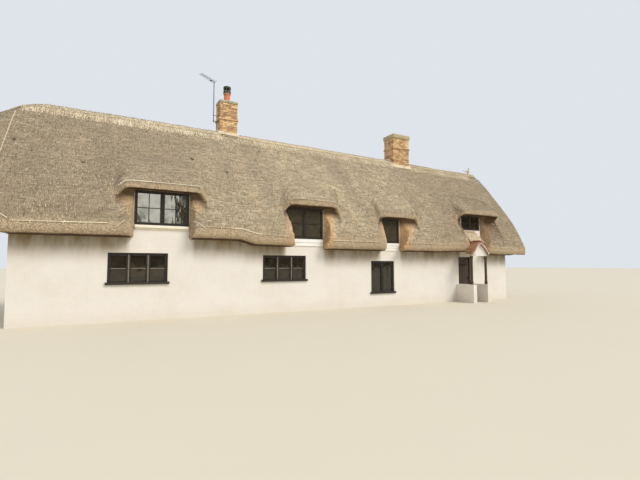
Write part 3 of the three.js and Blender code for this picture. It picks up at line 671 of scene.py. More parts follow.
class EffectKit:
    """The shader node groups that several finishes share, each built once."""

    def __init__(self) -> None:
        """Builds the groups."""
        self.grain = self._make_grain()
        self.patches = self._make_patches()
        self.stipple = self._make_stipple()
        self.wear = self._make_wear()

    def _start(
        self, name: str, numbers: Sequence[str], results: Sequence[str]
    ) -> tuple[NodeSheet, bpy.types.NodeOutputs, bpy.types.NodeInputs]:
        """Starts a group that takes the place on the object.

        Args:
            name: the group's name.
            numbers: the names of its number inputs.
            results: the names of its outputs.

        Returns:
            The sheet to work on, what comes in, and where the results go.
        """
        tree = bpy.data.node_groups.new(name, "ShaderNodeTree")
        tree.interface.new_socket("Place", in_out="INPUT", socket_type="NodeSocketVector")
        for way, keys in (("INPUT", numbers), ("OUTPUT", results)):
            for key in keys:
                tree.interface.new_socket(key, in_out=way, socket_type="NodeSocketFloat")
        start = tree.nodes.new("NodeGroupInput")
        end = tree.nodes.new("NodeGroupOutput")
        return NodeSheet(tree), start.outputs, end.inputs

    def _make_grain(self) -> bpy.types.NodeTree:
        """Long fine streaks: straw, or the grain of timber.

        Returns:
            The group.
        """
        sheet, given, results = self._start("long grain", ["Fine", "Bold"], ["Tone", "Relief"])
        fine = sheet.noise(given["Place"], given["Fine"], detail=3.0, rough=0.7)
        bold = sheet.noise(given["Place"], given["Bold"], detail=4.0, rough=0.65)
        fine_share = 0.55
        both = sheet.plus(sheet.times(fine, fine_share), sheet.times(bold, 1 - fine_share))
        sheet.feed(results["Tone"], sheet.ease(both, low=0.34, high=0.66))
        sheet.feed(results["Relief"], both)
        return sheet.tree

    def _make_patches(self) -> bpy.types.NodeTree:
        """Soft-edged patches: weathering, lichen, soot, stains.

        Returns:
            The group.
        """
        names = ["Scale", "Cover", "Edge"]
        sheet, given, results = self._start("weather patches", names, ["Mask"])
        clouds = sheet.noise(given["Place"], given["Scale"], detail=6.0, rough=0.62)
        bare_level, fall = 0.75, 0.5
        level = sheet.less(bare_level, sheet.times(given["Cover"], fall))
        low = sheet.less(level, given["Edge"])
        high = sheet.plus(level, given["Edge"])
        sheet.feed(results["Mask"], sheet.ease(clouds, low, high))
        return sheet.tree

    def _make_stipple(self) -> bpy.types.NodeTree:
        """Small round grains: cut straw ends, coarse sand in a render.

        Returns:
            The group.
        """
        sheet, given, results = self._start("stipple", ["Scale"], ["Tone", "Relief"])
        inputs = {"Vector": given["Place"], "Scale": given["Scale"]}
        cells = sheet.node("TexVoronoi", inputs)
        shade = sheet.node("SeparateColor", {0: cells.outputs["Color"]}).outputs["Red"]
        sheet.feed(results["Tone"], shade)
        sheet.feed(results["Relief"], sheet.ease(cells.outputs["Distance"], low=0.7, high=0.0))
        return sheet.tree

    def _make_wear(self) -> bpy.types.NodeTree:
        """Rubbed edges, broken up by noise.

        Returns:
            The group.
        """
        sheet, given, results = self._start("edge wear", ["Reach"], ["Mask"])
        point = sheet.node("NewGeometry").outputs["Pointiness"]
        flat = 0.5
        edge = sheet.ease(point, flat, sheet.plus(flat, given["Reach"]))
        broken = sheet.noise(given["Place"], scale=25.0, detail=4.0)
        sheet.feed(results["Mask"], sheet.times(edge, sheet.ease(broken, low=0.35, high=0.65)))
        return sheet.tree


class MaterialSheet(NodeSheet):
    """The nodes of one material, with the shared effects and the shader at hand."""

    def __init__(self, material: bpy.types.Material, kit: EffectKit) -> None:
        """Starts on a new material.

        Args:
            material: the material, with nodes in use.
            kit: the shared effects.
        """
        super().__init__(material.node_tree)
        self.kit = kit
        self.shader = material.node_tree.nodes["Principled BSDF"].inputs

    def paint(self, tone: Value) -> None:
        """Feeds the shader's colour."""
        self.feed(self.shader["Base Color"], tone)

    def roughen(self, rough: Value) -> None:
        """Feeds the shader's roughness."""
        self.feed(self.shader["Roughness"], rough)

    def emboss(self, relief: Value, strength: float, depth: float) -> None:
        """Bends the shader's normal by a relief that is at most depth metres deep."""
        inputs = {"Height": relief, "Strength": strength, "Distance": depth}
        self.feed(self.shader["Normal"], self.node("Bump", inputs).outputs["Normal"])

    def grain(self, fine: float, bold: float, stretch: Triple = EVEN) -> Sockets:
        """Places long grain, whose scales are lower along the axis that it follows."""
        inputs = {"Place": self.spot(stretch), "Fine": fine, "Bold": bold}
        return self.effect(self.kit.grain, inputs)

    def patches(self, scale: float, cover: float, edge: float, stretch: Triple = EVEN) -> Socket:
        """Places weather patches that cover a share of the surface, and gives their mask."""
        inputs = {"Place": self.spot(stretch), "Scale": scale, "Cover": cover, "Edge": edge}
        return self.effect(self.kit.patches, inputs)["Mask"]

    def stipple(self, scale: float) -> Sockets:
        """Places small round grains."""
        return self.effect(self.kit.stipple, {"Place": self.spot(), "Scale": scale})

    def wear(self, reach: float) -> Socket:
        """Places edge wear, and gives its mask."""
        return self.effect(self.kit.wear, {"Place": self.spot(), "Reach": reach})["Mask"]


# Finishes

@dataclass(frozen=True)
class Finish:
    """What every finish has: a name, the record's slot and a roughness."""

    name: str
    slot: str
    rough: float = 0.85

    def make(self, kit: EffectKit) -> bpy.types.Material:
        """Builds the material.

        Args:
            kit: the shared effects.

        Returns:
            The new material.
        """
        material = bpy.data.materials.new(self.name)
        material.use_nodes = True
        sheet = MaterialSheet(material, kit)
        sheet.roughen(self.rough)
        self.dress(sheet)
        return material

    def dress(self, sheet: MaterialSheet) -> None:
        """Adds this finish's own nodes to the material."""
        raise NotImplementedError


@dataclass(frozen=True)
class CoatFinish(Finish):
    """Weathered straw on the slope, with trimmed faces and sheltered, still golden straw, and with
    painted shade below the lips and eaves, in the dents and in streaks.
    """

    dark: Colour = colour(92, 79, 58)
    pale: Colour = colour(238, 216, 179)
    grey: Colour = colour(140, 128, 109)
    warm: Colour = colour(184, 154, 118)
    cut_dark: Colour = colour(130, 111, 86)
    cut_pale: Colour = colour(214, 192, 160)
    gold_dark: Colour = colour(150, 112, 72)
    gold_pale: Colour = colour(228, 188, 138)
    # under, hollow and streak are painted shade: below the lips and eaves, in the dents, and in
    # streaks beside the brows
    under: Colour = colour(70, 48, 28)
    hollow: Colour = colour(60, 50, 38)
    streak: Colour = colour(104, 92, 76)
    combed_share: float = 0.25
    streak_share: float = 0.55
    row_relief: float = 1.6
    combed_relief: float = 0.5
    cut_relief: float = 0.5

    def dress(self, sheet: MaterialSheet) -> None:
        """Adds this finish's own nodes to the material.

        Args:
            sheet: the material's nodes.
        """
        combed = sheet.grain(fine=64.0, bold=22.0, stretch=(1.0, 0.3, 0.3))
        rows = sheet.grain(fine=38.0, bold=16.0, stretch=(0.14, 1.0, 1.0))
        ends = sheet.stipple(scale=64.0)
        tone = sheet.mix(self.combed_share, rows["Tone"], combed["Tone"])
        base = self._weathered_and_shaded(sheet, sheet.mix(tone, self.dark, self.pale))
        cut = sheet.mix(ends["Tone"], self.cut_dark, self.cut_pale)
        gold = sheet.mix(combed["Tone"], self.gold_dark, self.gold_pale)
        # under and hollow paint shade on faces that look down, close under the lips and in the dents
        for mask, paint in (
            ("cut", cut), ("shelter", gold), ("under", self.under), ("hollow", self.hollow)
        ):
            base = sheet.mix(sheet.mask(mask), base, paint)
        sheet.paint(base)
        combed_relief = sheet.times(combed["Relief"], self.combed_relief)
        slope = sheet.plus(combed_relief, sheet.times(rows["Relief"], self.row_relief))
        trimmed = sheet.times(ends["Relief"], self.cut_relief)
        relief = sheet.mix(sheet.mask("cut"), slope, trimmed)
        sheet.emboss(relief, strength=0.8, depth=0.018)

    def _weathered_and_shaded(self, sheet: MaterialSheet, base: Value) -> Value:
        """Adds grey and warm weather patches, and the dark streak mask: painted shade beside the
        brows, darker towards the coat's ends.

        Args:
            sheet: the material's nodes.
            base: the straw's colour.

        Returns:
            The weathered colour.
        """
        for scale, cover, share, tint in ((0.8, 0.5, 0.45, self.grey), (1.5, 0.3, 0.35, self.warm)):
            patch = sheet.patches(scale, cover, edge=0.16, stretch=(1.0, 0.5, 0.5))
            base = sheet.mix(sheet.times(patch, share), base, tint)
        # the streak mask is painted shade beside the brows' swells, and darker towards the coat's ends
        return sheet.mix(sheet.times(sheet.mask("streak"), self.streak_share), base, self.streak)


@dataclass(frozen=True)
class StrawFinish(Finish):
    """Single straws, each with its own tone between three colours."""

    dark: Colour = colour(88, 76, 57)
    middle: Colour = colour(158, 141, 114)
    pale: Colour = colour(218, 200, 168)
    aged_share: float = 0.35

    def dress(self, sheet: MaterialSheet) -> None:
        """Adds this finish's own nodes to the material.

        Args:
            sheet: the material's nodes.
        """
        tint = sheet.mask("tint")
        low = sheet.mix(sheet.ease(tint, 0.0, 0.5), self.dark, self.middle)
        tone = sheet.mix(sheet.ease(tint, 0.5, 1.0), low, self.pale)
        old = sheet.patches(scale=0.8, cover=0.5, edge=0.16)
        sheet.paint(sheet.mix(sheet.times(old, self.aged_share), tone, self.dark))


@dataclass(frozen=True)
class LimeFinish(Finish):
    """Painted lime render, rough, worn at its foot, with painted shade and drip stains below the
    eaves.
    """

    paint: Colour = colour(228, 221, 211)
    worn: Colour = colour(212, 202, 184)
    # painted shade below the eaves, olive, with drip stains in it
    eave_shade_stain: Colour = colour(124, 102, 50)
    worn_share: float = 0.45
    shade_stain_low: float = 1.55
    shade_stain_high: float = 2.42
    step_from: float = -3.6
    step_to: float = -1.9
    step: float = 0.22
    mouths: tuple[Span, ...] = ((-5.92, 0.8), (-1.17, 0.66), (2.64, 0.42), (7.24, 0.6))
    mouth_edge: float = 0.2
    splash_top: float = 0.45
    splash_share: float = 0.4
    sand_relief: float = 0.12

    def dress(self, sheet: MaterialSheet) -> None:
        """Adds this finish's own nodes to the material.

        Args:
            sheet: the material's nodes.
        """
        worn = sheet.patches(scale=1.3, cover=0.35, edge=0.2)
        base = sheet.mix(sheet.times(worn, self.worn_share), self.paint, self.worn)
        # paints the shade below the eaves, with drip stains, over the wall
        base = sheet.mix(self._eave_shade_runs(sheet), base, self.eave_shade_stain)
        splash = sheet.ease(sheet.axis("Z"), self.splash_top, 0.0)
        base = sheet.mix(sheet.times(splash, self.splash_share), base, self.worn)
        sheet.paint(base)
        sand = sheet.stipple(scale=130.0)
        waves = sheet.noise(sheet.spot(), scale=2.2, detail=4.0)
        relief = sheet.plus(waves, sheet.times(sand["Relief"], self.sand_relief))
        sheet.emboss(relief, strength=0.7, depth=0.02)

    def _eave_shade_runs(self, sheet: MaterialSheet) -> Socket:
        """Painted shade and drip stains below the eaves: high on the wall, but not below the mouths of
        the windows.

        Args:
            sheet: the material's nodes.

        Returns:
            A mask for the painted shade and stains, in upright runs.
        """
        x = sheet.axis("X")
        lower_eaves = sheet.ease(x, self.step_from, self.step_to, 0.0, self.step)
        level = sheet.plus(sheet.axis("Z"), lower_eaves)
        high = sheet.ease(level, self.shade_stain_low, self.shade_stain_high)
        for middle, half in self.mouths:
            away = sheet.sum("ABSOLUTE", sheet.less(x, middle))
            high = sheet.times(high, sheet.ease(away, half, half + self.mouth_edge))
        runs = sheet.noise(sheet.spot((1.0, 1.0, 0.3)), scale=2.6, detail=4.0)
        return sheet.times(high, sheet.ease(runs, low=0.3, high=0.7, start=0.6, end=1.0))


@dataclass(frozen=True)
class MasonryFinish(Finish):
    """Bricks, tiles, pots, cement or stone: a tone for each piece, with patches of weather."""

    dark: Colour = colour(150, 92, 58)
    pale: Colour = colour(214, 152, 100)
    weather: Colour = colour(96, 84, 66)
    weather_cover: float = 0.3
    weather_scale: float = 7.0
    weather_share: float = 0.6
    own_share: float = 0.65
    worn_share: float = 0.4
    sand_relief: float = 0.4
    depth: float = 0.004

    def dress(self, sheet: MaterialSheet) -> None:
        """Adds this finish's own nodes to the material.

        Args:
            sheet: the material's nodes.
        """
        fine = sheet.noise(sheet.spot(), scale=18.0, detail=5.0)
        own = sheet.times(sheet.mask("tint"), self.own_share)
        tone = sheet.plus(own, sheet.ease(fine, low=0.3, high=0.7, start=0.0, end=1 - self.own_share))
        base = sheet.mix(tone, self.dark, self.pale)
        weather = sheet.patches(self.weather_scale, self.weather_cover, edge=0.08)
        base = sheet.mix(sheet.times(weather, self.weather_share), base, self.weather)
        worn = sheet.times(sheet.wear(reach=0.2), self.worn_share)
        sheet.paint(sheet.mix(worn, base, self.pale))
        sand = sheet.stipple(scale=160.0)
        relief = sheet.plus(fine, sheet.times(sand["Relief"], self.sand_relief))
        sheet.emboss(relief, strength=0.8, depth=self.depth)


@dataclass(frozen=True)
class TimberFinish(Finish):
    """Planed timber, bare or painted, with its grain along one axis."""

    dark: Colour = colour(24, 20, 17)
    pale: Colour = colour(48, 40, 33)
    worn: Colour = colour(86, 74, 60)
    wear: float = 0.3
    aged_share: float = 0.5
    polish: float = 0.15
    along: Triple = (1.0, 1.0, 0.12)
    depth: float = 0.002

    def dress(self, sheet: MaterialSheet) -> None:
        """Adds this finish's own nodes to the material.

        Args:
            sheet: the material's nodes.
        """
        grain = sheet.grain(fine=120.0, bold=30.0, stretch=self.along)
        base = sheet.mix(grain["Tone"], self.dark, self.pale)
        aged = sheet.times(sheet.patches(scale=4.0, cover=0.3, edge=0.1), self.aged_share)
        worn = sheet.sum("MAXIMUM", sheet.wear(reach=0.15), aged)
        sheet.paint(sheet.mix(sheet.times(worn, self.wear), base, self.worn))
        rough = sheet.ease(grain["Tone"], 0, 1, self.rough, self.rough - self.polish)
        sheet.roughen(rough)
        sheet.emboss(grain["Relief"], strength=0.5, depth=self.depth)


@dataclass(frozen=True)
class MetalFinish(Finish):
    """Sheet or tube metal, dulled and spotted by the weather."""

    base: Colour = colour(120, 124, 126)
    dull: Colour = colour(84, 80, 74)
    metallic: float = 0.8
    roughening: float = 0.3

    def dress(self, sheet: MaterialSheet) -> None:
        """Adds this finish's own nodes to the material.

        Args:
            sheet: the material's nodes.
        """
        sheet.feed(sheet.shader["Metallic"], self.metallic)
        dull = sheet.patches(scale=22.0, cover=0.4, edge=0.1)
        sheet.paint(sheet.mix(dull, self.base, self.dull))
        rough = sheet.ease(dull, 0, 1, self.rough, min(1.0, self.rough + self.roughening))
        sheet.roughen(rough)
        fine = sheet.noise(sheet.spot(), scale=240.0, detail=2.0)
        sheet.emboss(fine, strength=0.3, depth=0.001)


@dataclass(frozen=True)
class GlassFinish(Finish):
    """Old window glass: slightly wavy, a little dusty, and dark where the room behind is."""

    tint: Colour = colour(122, 112, 94)
    dusty: Colour = colour(146, 134, 112)
    transmission: float = 0.9
    metallic: float = 0.04
    bend: float = 1.5
    dust_rough: float = 0.12

    def dress(self, sheet: MaterialSheet) -> None:
        """Adds this finish's own nodes to the material.

        Args:
            sheet: the material's nodes.
        """
        sheet.feed(sheet.shader["Transmission Weight"], self.transmission)
        sheet.feed(sheet.shader["Metallic"], self.metallic)
        sheet.feed(sheet.shader["IOR"], self.bend)
        dust = sheet.patches(scale=3.0, cover=0.35, edge=0.2)
        sheet.paint(sheet.mix(dust, self.tint, self.dusty))
        sheet.roughen(sheet.ease(dust, 0, 1, self.rough, self.dust_rough))
        waves = sheet.noise(sheet.spot((1.0, 1.0, 0.6)), scale=4.0, detail=2.0)
        sheet.emboss(waves, strength=0.25, depth=0.01)


@dataclass(frozen=True)
class GroundFinish(Finish):
    """The plain pale floor of the studio."""

    base: Colour = colour(212, 202, 182)
    darker: float = 0.97

    def dress(self, sheet: MaterialSheet) -> None:
        """Adds this finish's own nodes to the material.

        Args:
            sheet: the material's nodes.
        """
        clouds = sheet.noise(sheet.spot(), scale=0.4, detail=2.0)
        darker = (*(self.darker * value for value in self.base[:3]), 1.0)
        sheet.paint(sheet.mix(clouds, self.base, darker))


class FinishShelf:
    """Keeps each finish's material once it is made."""

    def __init__(self) -> None:
        """Builds the shared effects."""
        self.kit = EffectKit()
        self.made: dict[str, bpy.types.Material] = {}

    def material(self, finish: Finish) -> bpy.types.Material:
        """Makes a finish's material the first time that it is asked for.

        Args:
            finish: the finish.

        Returns:
            Its material.
        """
        if finish.name not in self.made:
            self.made[finish.name] = finish.make(self.kit)
        return self.made[finish.name]

    def repaint(self, node: str, finish: Finish) -> None:
        """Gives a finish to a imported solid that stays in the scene.

        Args:
            node: the solid's name.
            finish: its finish.
        """
        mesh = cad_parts[node].data
        mesh.materials.clear()
        mesh.materials.append(self.material(finish))

    def settle(self, piece: bpy.types.Object, finish: Finish, *replaced: str) -> None:
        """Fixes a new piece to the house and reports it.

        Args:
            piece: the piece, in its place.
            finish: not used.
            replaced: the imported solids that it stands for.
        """
        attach(piece, BODY)
        if replaced:
            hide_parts(*replaced)
        log.info("%s: %d faces", piece.name, len(piece.data.polygons))

    def stand(
        self, name: str, forms: Batch | bpy.types.Mesh, finish: Finish, *replaced: str
    ) -> None:
        """Makes a piece of small forms or of a mesh, and fixes it to the house.

        Args:
            name: the piece's name.
            forms: what it is made of.
            finish: the finish that it wears.
            replaced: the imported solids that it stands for.
        """
        material = self.material(finish)
        if isinstance(forms, Batch):
            piece = forms.build(name, material)
        else:
            forms.shade_smooth()
            piece = place(name, forms, material)
        self.settle(piece, finish, *replaced)


THATCH = CoatFinish("weathered thatch", "thatch", 0.95)
RIDGE = CoatFinish(
    "ridge straw", "ridge_straw", 0.95,
    dark=colour(190, 172, 140), pale=colour(252, 240, 212), grey=colour(212, 198, 172),
    cut_dark=colour(176, 157, 124), cut_pale=colour(240, 224, 192),
)
APRON = CoatFinish(
    "apron straw", "thatch", 0.95,
    dark=colour(196, 150, 96), pale=colour(248, 230, 198), grey=colour(216, 182, 136),
    cut_dark=colour(188, 132, 78), cut_pale=colour(240, 212, 168),
)
STRAW = StrawFinish("straws", "thatch", 0.8)
RIDGE_STRAW = StrawFinish(
    "ridge straws", "ridge_straw", 0.8,
    dark=colour(182, 162, 130), middle=colour(238, 220, 186), pale=colour(252, 242, 218),
)
CUT_STRAW = StrawFinish(
    "cut straw ends", "thatch", 0.8,
    dark=colour(118, 100, 76), middle=colour(176, 155, 126), pale=colour(220, 200, 168),
)
HAZEL = StrawFinish(
    "hazel rods", "ridge_straw", 0.7,
    dark=colour(160, 144, 118), middle=colour(214, 198, 170), pale=colour(240, 228, 204),
)
LIME = LimeFinish("lime render", "lime_render", 0.9)
BACK_LIME = LimeFinish(
    "back lime render", "lime_render", 0.9, step=0.0, mouths=((-5.9, 0.8), (3.1, 0.8)),
)
# On the gables the painted shade and stains grow gently darker up to the top.
GABLE_LIME = LimeFinish(
    "gable lime render", "lime_render", 0.9,
    eave_shade_stain=colour(178, 164, 128), shade_stain_low=1.5, shade_stain_high=8.0, step=0.0, mouths=(),
)
FLOOR_STONE = MasonryFinish(
    "stone floor", "floor_stone", 0.8,
    dark=colour(120, 112, 100), pale=colour(170, 160, 146), weather_scale=2.0,
)
FLOOR_BOARDS = TimberFinish(
    "floor boards", "floor_boards", 0.6,
    dark=colour(120, 88, 56), pale=colour(174, 136, 92), along=(0.12, 1.0, 1.0),
)
BRICK = MasonryFinish(
    "brick", "brick", 0.9,
    dark=colour(118, 70, 44), pale=colour(254, 212, 156), weather=colour(104, 84, 62),
    weather_cover=0.42, weather_scale=5.0,
)
BED_MORTAR = MasonryFinish(
    "bed mortar", "brick", 0.95,
    dark=colour(150, 128, 98), pale=colour(228, 206, 170), weather_cover=0.4,
)
FLAUNCHING = MasonryFinish(
    "mortar fillet", "mortar", 0.95,
    dark=colour(206, 186, 156), pale=colour(242, 230, 208), weather=colour(176, 156, 126),
    weather_cover=0.35, weather_scale=4.0,
)
GREY_CEMENT = MasonryFinish(
    "pale cement", "cement", 0.95,
    dark=colour(158, 152, 130), pale=colour(224, 216, 190), weather=colour(136, 132, 100),
    weather_cover=0.45, weather_scale=9.0,
)
LICHEN_CEMENT = MasonryFinish(
    "lichened cement", "cement", 0.95,
    dark=colour(164, 150, 120), pale=colour(240, 224, 186), weather=colour(160, 150, 96),
    weather_cover=0.45, weather_scale=8.0,
)
POT_CLAY = MasonryFinish(
    "pot clay", "terracotta", 0.75,
    dark=colour(188, 100, 60), pale=colour(228, 146, 98), weather=colour(120, 84, 62),
    weather_cover=0.25, depth=0.002,
)
TILE_CLAY = MasonryFinish(
    "tile clay", "clay_tile", 0.85,
    dark=colour(136, 88, 62), pale=colour(206, 146, 104), weather=colour(160, 142, 108),
    weather_cover=0.5, weather_scale=6.0,
)
JOINERY = TimberFinish("dark joinery", "dark_joinery", 0.5)
OAK = TimberFinish(
    "dark oak", "dark_oak", 0.7,
    dark=colour(38, 28, 22), pale=colour(76, 58, 46), worn=colour(126, 110, 94),
)
BEAD = TimberFinish(
    "greyed beads", "dark_joinery", 0.6,
    dark=colour(92, 82, 68), pale=colour(136, 124, 106), worn=colour(160, 150, 132),
)
WHITE_BOARD = TimberFinish(
    "white boards", "lime_render", 0.55,
    dark=colour(224, 220, 210), pale=colour(244, 241, 234), worn=colour(196, 190, 176),
    along=(0.12, 1.0, 1.0),
)
CREAM_BOARD = TimberFinish(
    "cream sill", "lime_render", 0.5,
    dark=colour(234, 224, 200), pale=colour(250, 243, 226), worn=colour(206, 194, 166),
    along=(0.12, 1.0, 1.0),
)
GLASS = GlassFinish("window glass", "window_glass", 0.03)
SHEEN_GLASS = GlassFinish(
    "sky lit glass", "window_glass", 0.03,
    tint=colour(228, 222, 204), dusty=colour(206, 198, 174), metallic=0.75,
)
DULL_GLASS = GlassFinish("dull window glass", "window_glass", 0.05, transmission=0.7)
COWL_METAL = MetalFinish(
    "cowl metal", "cowl_metal", 0.45, base=colour(74, 78, 70), dull=colour(96, 92, 70), metallic=0.5
)
AERIAL_METAL = MetalFinish("aerial metal", "aerial_metal", 0.35)
IRONWORK = MetalFinish(
    "black ironwork", "cowl_metal", 0.5, base=colour(36, 36, 38), dull=colour(58, 50, 44)
)
GROUND = GroundFinish("studio floor", "", 0.9)


# Thatch

@dataclass(frozen=True)
class Brow:
    """The lip of thatch over an upper window, and the straw that it shelters.

    Tips and shoulders are X values, and the lip, the foot and what is faded are heights.
    """

    window: str
    side: Side
    tips: Span
    shoulders: Span
    lip: float
    tip_drop: float = 0.2
    lip_height: float = 0.2
    gold: Span = (0.5, 0.95)
    gold_edge: Span = (0.3, 1.2)
    gold_top: float = 0.05
    ragged: float = 0.28
    ragged_cells: Triple = (5, 3, 3)
    foot: float = 2.3
    near_foot: float = 0.3
    faded: Span = (2.0, 2.3)
    # The gloom fields place painted shade close under the lip.
    gloom_from: Span = (0.0, 0.04)
    gloom_near: float = 0.1
    gloom_depth: float = 0.45
    gloom_out: Span = (3.0, 3.15)
    skin_out: float = 2.0
    backing_width: float = 0.35
    backing_depth: float = 0.08
    backing_stand: float = 0.015
    backing_foot: float = 2.45
    backing_drop: float = 0.02
    end_margin: float = 0.1
    rod_marks: int = 16
    rodded: bool = True

    def lip_line(self, x: np.ndarray) -> np.ndarray:
        """The height of the lip's lower edge.

        Args:
            x: places along the house.

        Returns:
            The height at each place.
        """
        left = (x - self.tips[0]) / (self.shoulders[0] - self.tips[0])
        right = (self.tips[1] - x) / (self.tips[1] - self.shoulders[1])
        return self.lip - self.tip_drop * (1 - smooth_step(np.minimum(left, right), 0, 1))

    def _inside(self, points: np.ndarray, margin: float) -> np.ndarray:
        """Which places lie between the tips, on the brow's slope.

        Args:
            points: places on the coat, one row each.
            margin: how far past the tips still counts.

        Returns:
            Whether each place does.
        """
        x, y, _ = points.T
        between = (x > self.tips[0] - margin) & (x < self.tips[1] + margin)
        return between & (y * self.side.value > self.skin_out)

    def shelter(self, points: np.ndarray, seed: int) -> np.ndarray:
        """How gold the straw stays beside the window.

        Args:
            points: places on the coat, one row each.
            seed: varies the ragged edge of the gold.

        Returns:
            From 0 for weathered straw to 1 for straw that no rain reaches.
        """
        low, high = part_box(f"{self.window}_glass")
        x, _, z = points.T
        left = x < (low.x + high.x) / 2
        away = np.maximum(np.maximum(low.x - x, x - high.x), 0)
        near_lip = np.where(left, low.x - self.tips[0], self.tips[1] - high.x)
        reach = self.near_foot + (near_lip - self.near_foot) * smooth_step(z, self.foot, self.lip)
        ragged = away / reach + self.ragged * soft_noise(points, self.ragged_cells, seed)
        strength = np.where(left, *self.gold)
        below = smooth_step(self.lip_line(x) - z, 0.0, self.gold_top) * smooth_step(z, *self.faded)
        near = 1 - smooth_step(ragged, *self.gold_edge)
        return strength * near * below * self._inside(points, self.end_margin)

    def painted_lip_shade(self, points: np.ndarray) -> np.ndarray:
        """How dark the painted shade close under the lip is.

        Args:
            points: places on the coat, one row each.

        Returns:
            From 0 for straw in the light to 1 for the darkest.
        """
        x, y, z = points.T
        drop = self.lip_line(x) - z
        close = 1 - smooth_step(drop, self.gloom_near, self.gloom_depth)
        close = smooth_step(drop, *self.gloom_from) * close
        shaded = 1 - smooth_step(np.abs(y), *self.gloom_out)
        return close * self._inside(points, 0.0) * shaded

    def backing(self) -> list[Form]:
        """Two blocks in the wall's face, behind the thin rims of straw beside the window.

        Returns:
            The blocks' forms.
        """
        low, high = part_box(f"{self.window}_glass")
        out = (WALL_FACE - self.backing_depth, WALL_FACE + self.backing_stand)
        upright = (self.backing_foot, self.lip - self.backing_drop)
        blocks = []
        for rim, way in ((low.x - GLASS_TO_RIM, -1), (high.x + GLASS_TO_RIM, 1)):
            start, end = sorted((rim, rim + way * self.backing_width))
            blocks.append(slab(self.side, (start, end), out, upright, chamfer=0.001))
        return blocks

    def rod_run(self) -> list[Span]:
        """Points along the lip's upper edge, as x and height."""
        ends = (self.tips[0] + self.end_margin, self.tips[1] - self.end_margin)
        xs = np.linspace(*ends, self.rod_marks)
        return list(zip(xs.tolist(), (self.lip_line(xs) + self.lip_height).tolist()))


BROWS = (
    Brow(
        "upper_window_1", Side.FRONT, (-7.21, -4.64), (-6.903, -4.93), 3.8, gold=(0.5, 0.6),
        faded=(2.8, 3.6),
    ),
    Brow("upper_window_2", Side.FRONT, (-2.06, 0.27), (-1.69, -0.15), 3.69, gold=(0.5, 0.85)),
    Brow("upper_window_3", Side.FRONT, (1.92, 4.01), (2.0, 3.69), 3.48, rodded=False),
    Brow(
        "upper_window_4", Side.FRONT, (6.41, 9.1), (6.62, 8.74), 3.87, gold=(0.5, 0.6),
        gloom_depth=1.6, rodded=False,
    ),
    Brow("back_upper_window_1", Side.BACK, (-7.15, -4.65), (-6.8, -5.0), 3.7),
    Brow("back_upper_window_2", Side.BACK, (1.85, 4.35), (2.2, 4.0), 3.65),
)


